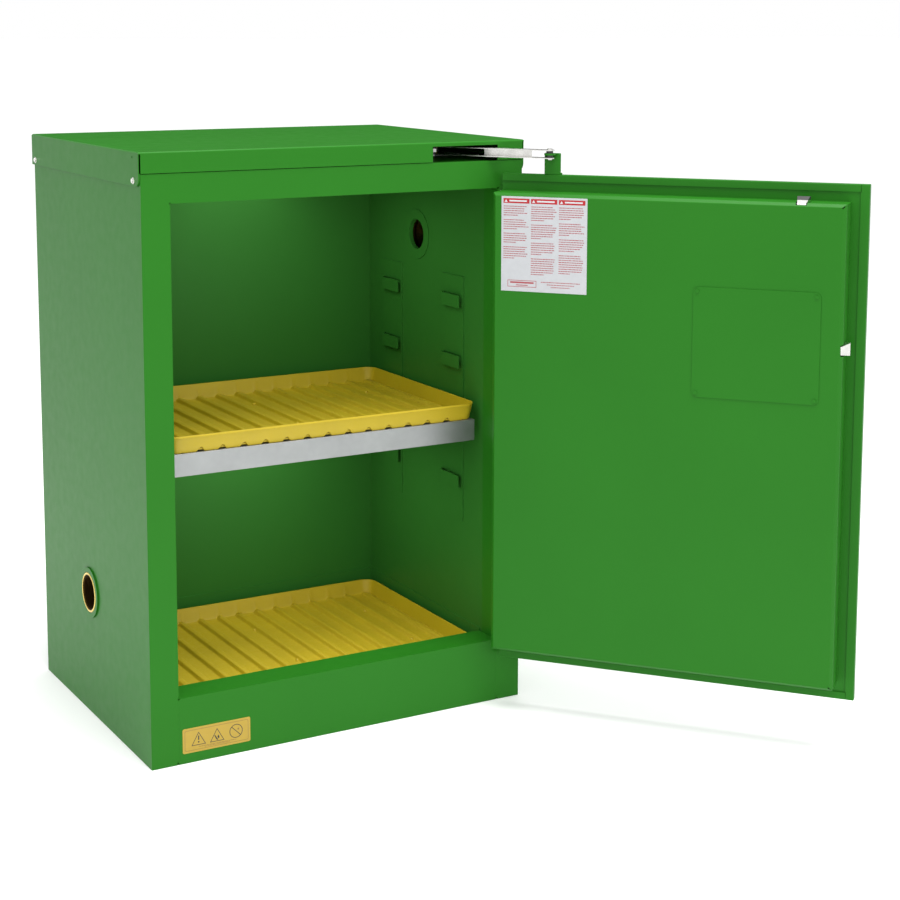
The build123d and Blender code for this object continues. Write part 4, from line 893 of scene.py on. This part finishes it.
def plain_surface(name, color, roughness):
    material, tree, bsdf = new_shader(name, color, roughness, Emission_Color=(1, 1, 1, 1),
                                      Emission_Strength=0.14)
    tint = noise(tree, coordinates(tree), 0.7, 2.0)
    tree.links.new(two_tone(tree, tint, shade(color, 0.99), color), bsdf.inputs["Base Color"])
    return material


def staged_sheet(name, corners, material):
    """A flat sheet that belongs to the studio."""
    bm = bmesh.new()
    bm.faces.new([bm.verts.new(corner) for corner in corners])
    mesh = bpy.data.meshes.new(name)
    bm.to_mesh(mesh)
    bm.free()
    mesh.materials.append(material)
    sheet = bpy.data.objects.new(name, mesh)
    bpy.context.scene.collection.objects.link(sheet)
    return sheet


def studio_floor():
    corners = [(x * FLOOR_HALF, y * FLOOR_HALF, FLOOR_Z) for x, y in ((-1, -1), (1, -1), (1, 1), (-1, 1))]
    staged_sheet("studio_floor", corners, plain_surface("pale_floor", (0.92, 0.92, 0.92), 0.9))


def glossy_flag():
    """Dark card behind the cabinet that keeps the white world out of the glossy cap.

    Only reflections see it.
    """
    outline = rectangle(-CARD_HALF, 0, CARD_HALF, CARD_HEIGHT)
    flag = staged_sheet("glossy_flag", [(x, 0, z) for x, z in outline], SHADOW_BLACK)
    flag.location = (1.9, 3.0, 0.0)
    flag.rotation_euler = (0, 0, math.radians(-30))
    flag.visible_camera = False
    flag.visible_diffuse = False
    flag.visible_shadow = False


def area_light(name, place, target, size, power, mirrored=False):
    """A round soft light. Only a mirrored one shows in reflections."""
    light = bpy.data.lights.new(name, "AREA")
    light.shape = "DISK"
    light.size = size
    light.energy = power
    lamp = bpy.data.objects.new(name, light)
    bpy.context.scene.collection.objects.link(lamp)
    lamp.location = place
    lamp.visible_glossy = mirrored
    lamp.rotation_euler = (Vector(target) - Vector(place)).to_track_quat("-Z", "Y").to_euler()


def white_world():
    world = bpy.data.worlds.new("soft_white")
    world.use_nodes = True
    background = world.node_tree.nodes["Background"]
    background.inputs["Color"].default_value = (1, 1, 1, 1)
    background.inputs["Strength"].default_value = 1.0
    bpy.context.scene.world = world


def studio():
    studio_floor()
    white_world()
    area_light("front_softbox", (-0.6, -4.2, 2.3), AIM, 1.8, 24)
    area_light("overhead_softbox", (0.2, -1.0, 3.6), AIM, 2.4, 134, mirrored=True)
    for name, sheet, power in (("upper_bay_fill", "inner_top_panel", 0.7),
                               ("lower_bay_fill", "shelf_pan", 0.8)):
        place = (0, 0.02, part_box(sheet)[0].z - BAY_DROP)
        area_light(name, place, (0, 0.02, 0), BAY_LIGHT, power)
    glossy_flag()
    bpy.context.scene.view_settings.view_transform = "Standard"


def camera():
    """Camera at the height of the cabinet's cap, to the left of the front."""
    data = bpy.data.cameras.new("photo_view")
    data.sensor_width = 36.0
    data.lens = 73.58
    data.shift_y = -0.2
    view = bpy.data.objects.new("photo_view", data)
    bpy.context.scene.collection.objects.link(view)
    yaw, pitch, roll = (math.radians(angle) for angle in (29.79, 7.58, 0.14))
    turn = Matrix.Rotation(-yaw, 4, "Z") @ Matrix.Rotation(math.pi / 2 - pitch, 4, "X")
    view.matrix_world = Matrix.Translation((-1.1575, -2.5637, 1.0305)) @ turn @ Matrix.Rotation(roll, 4, "Z")
    bpy.context.scene.camera = view


studio()
camera()
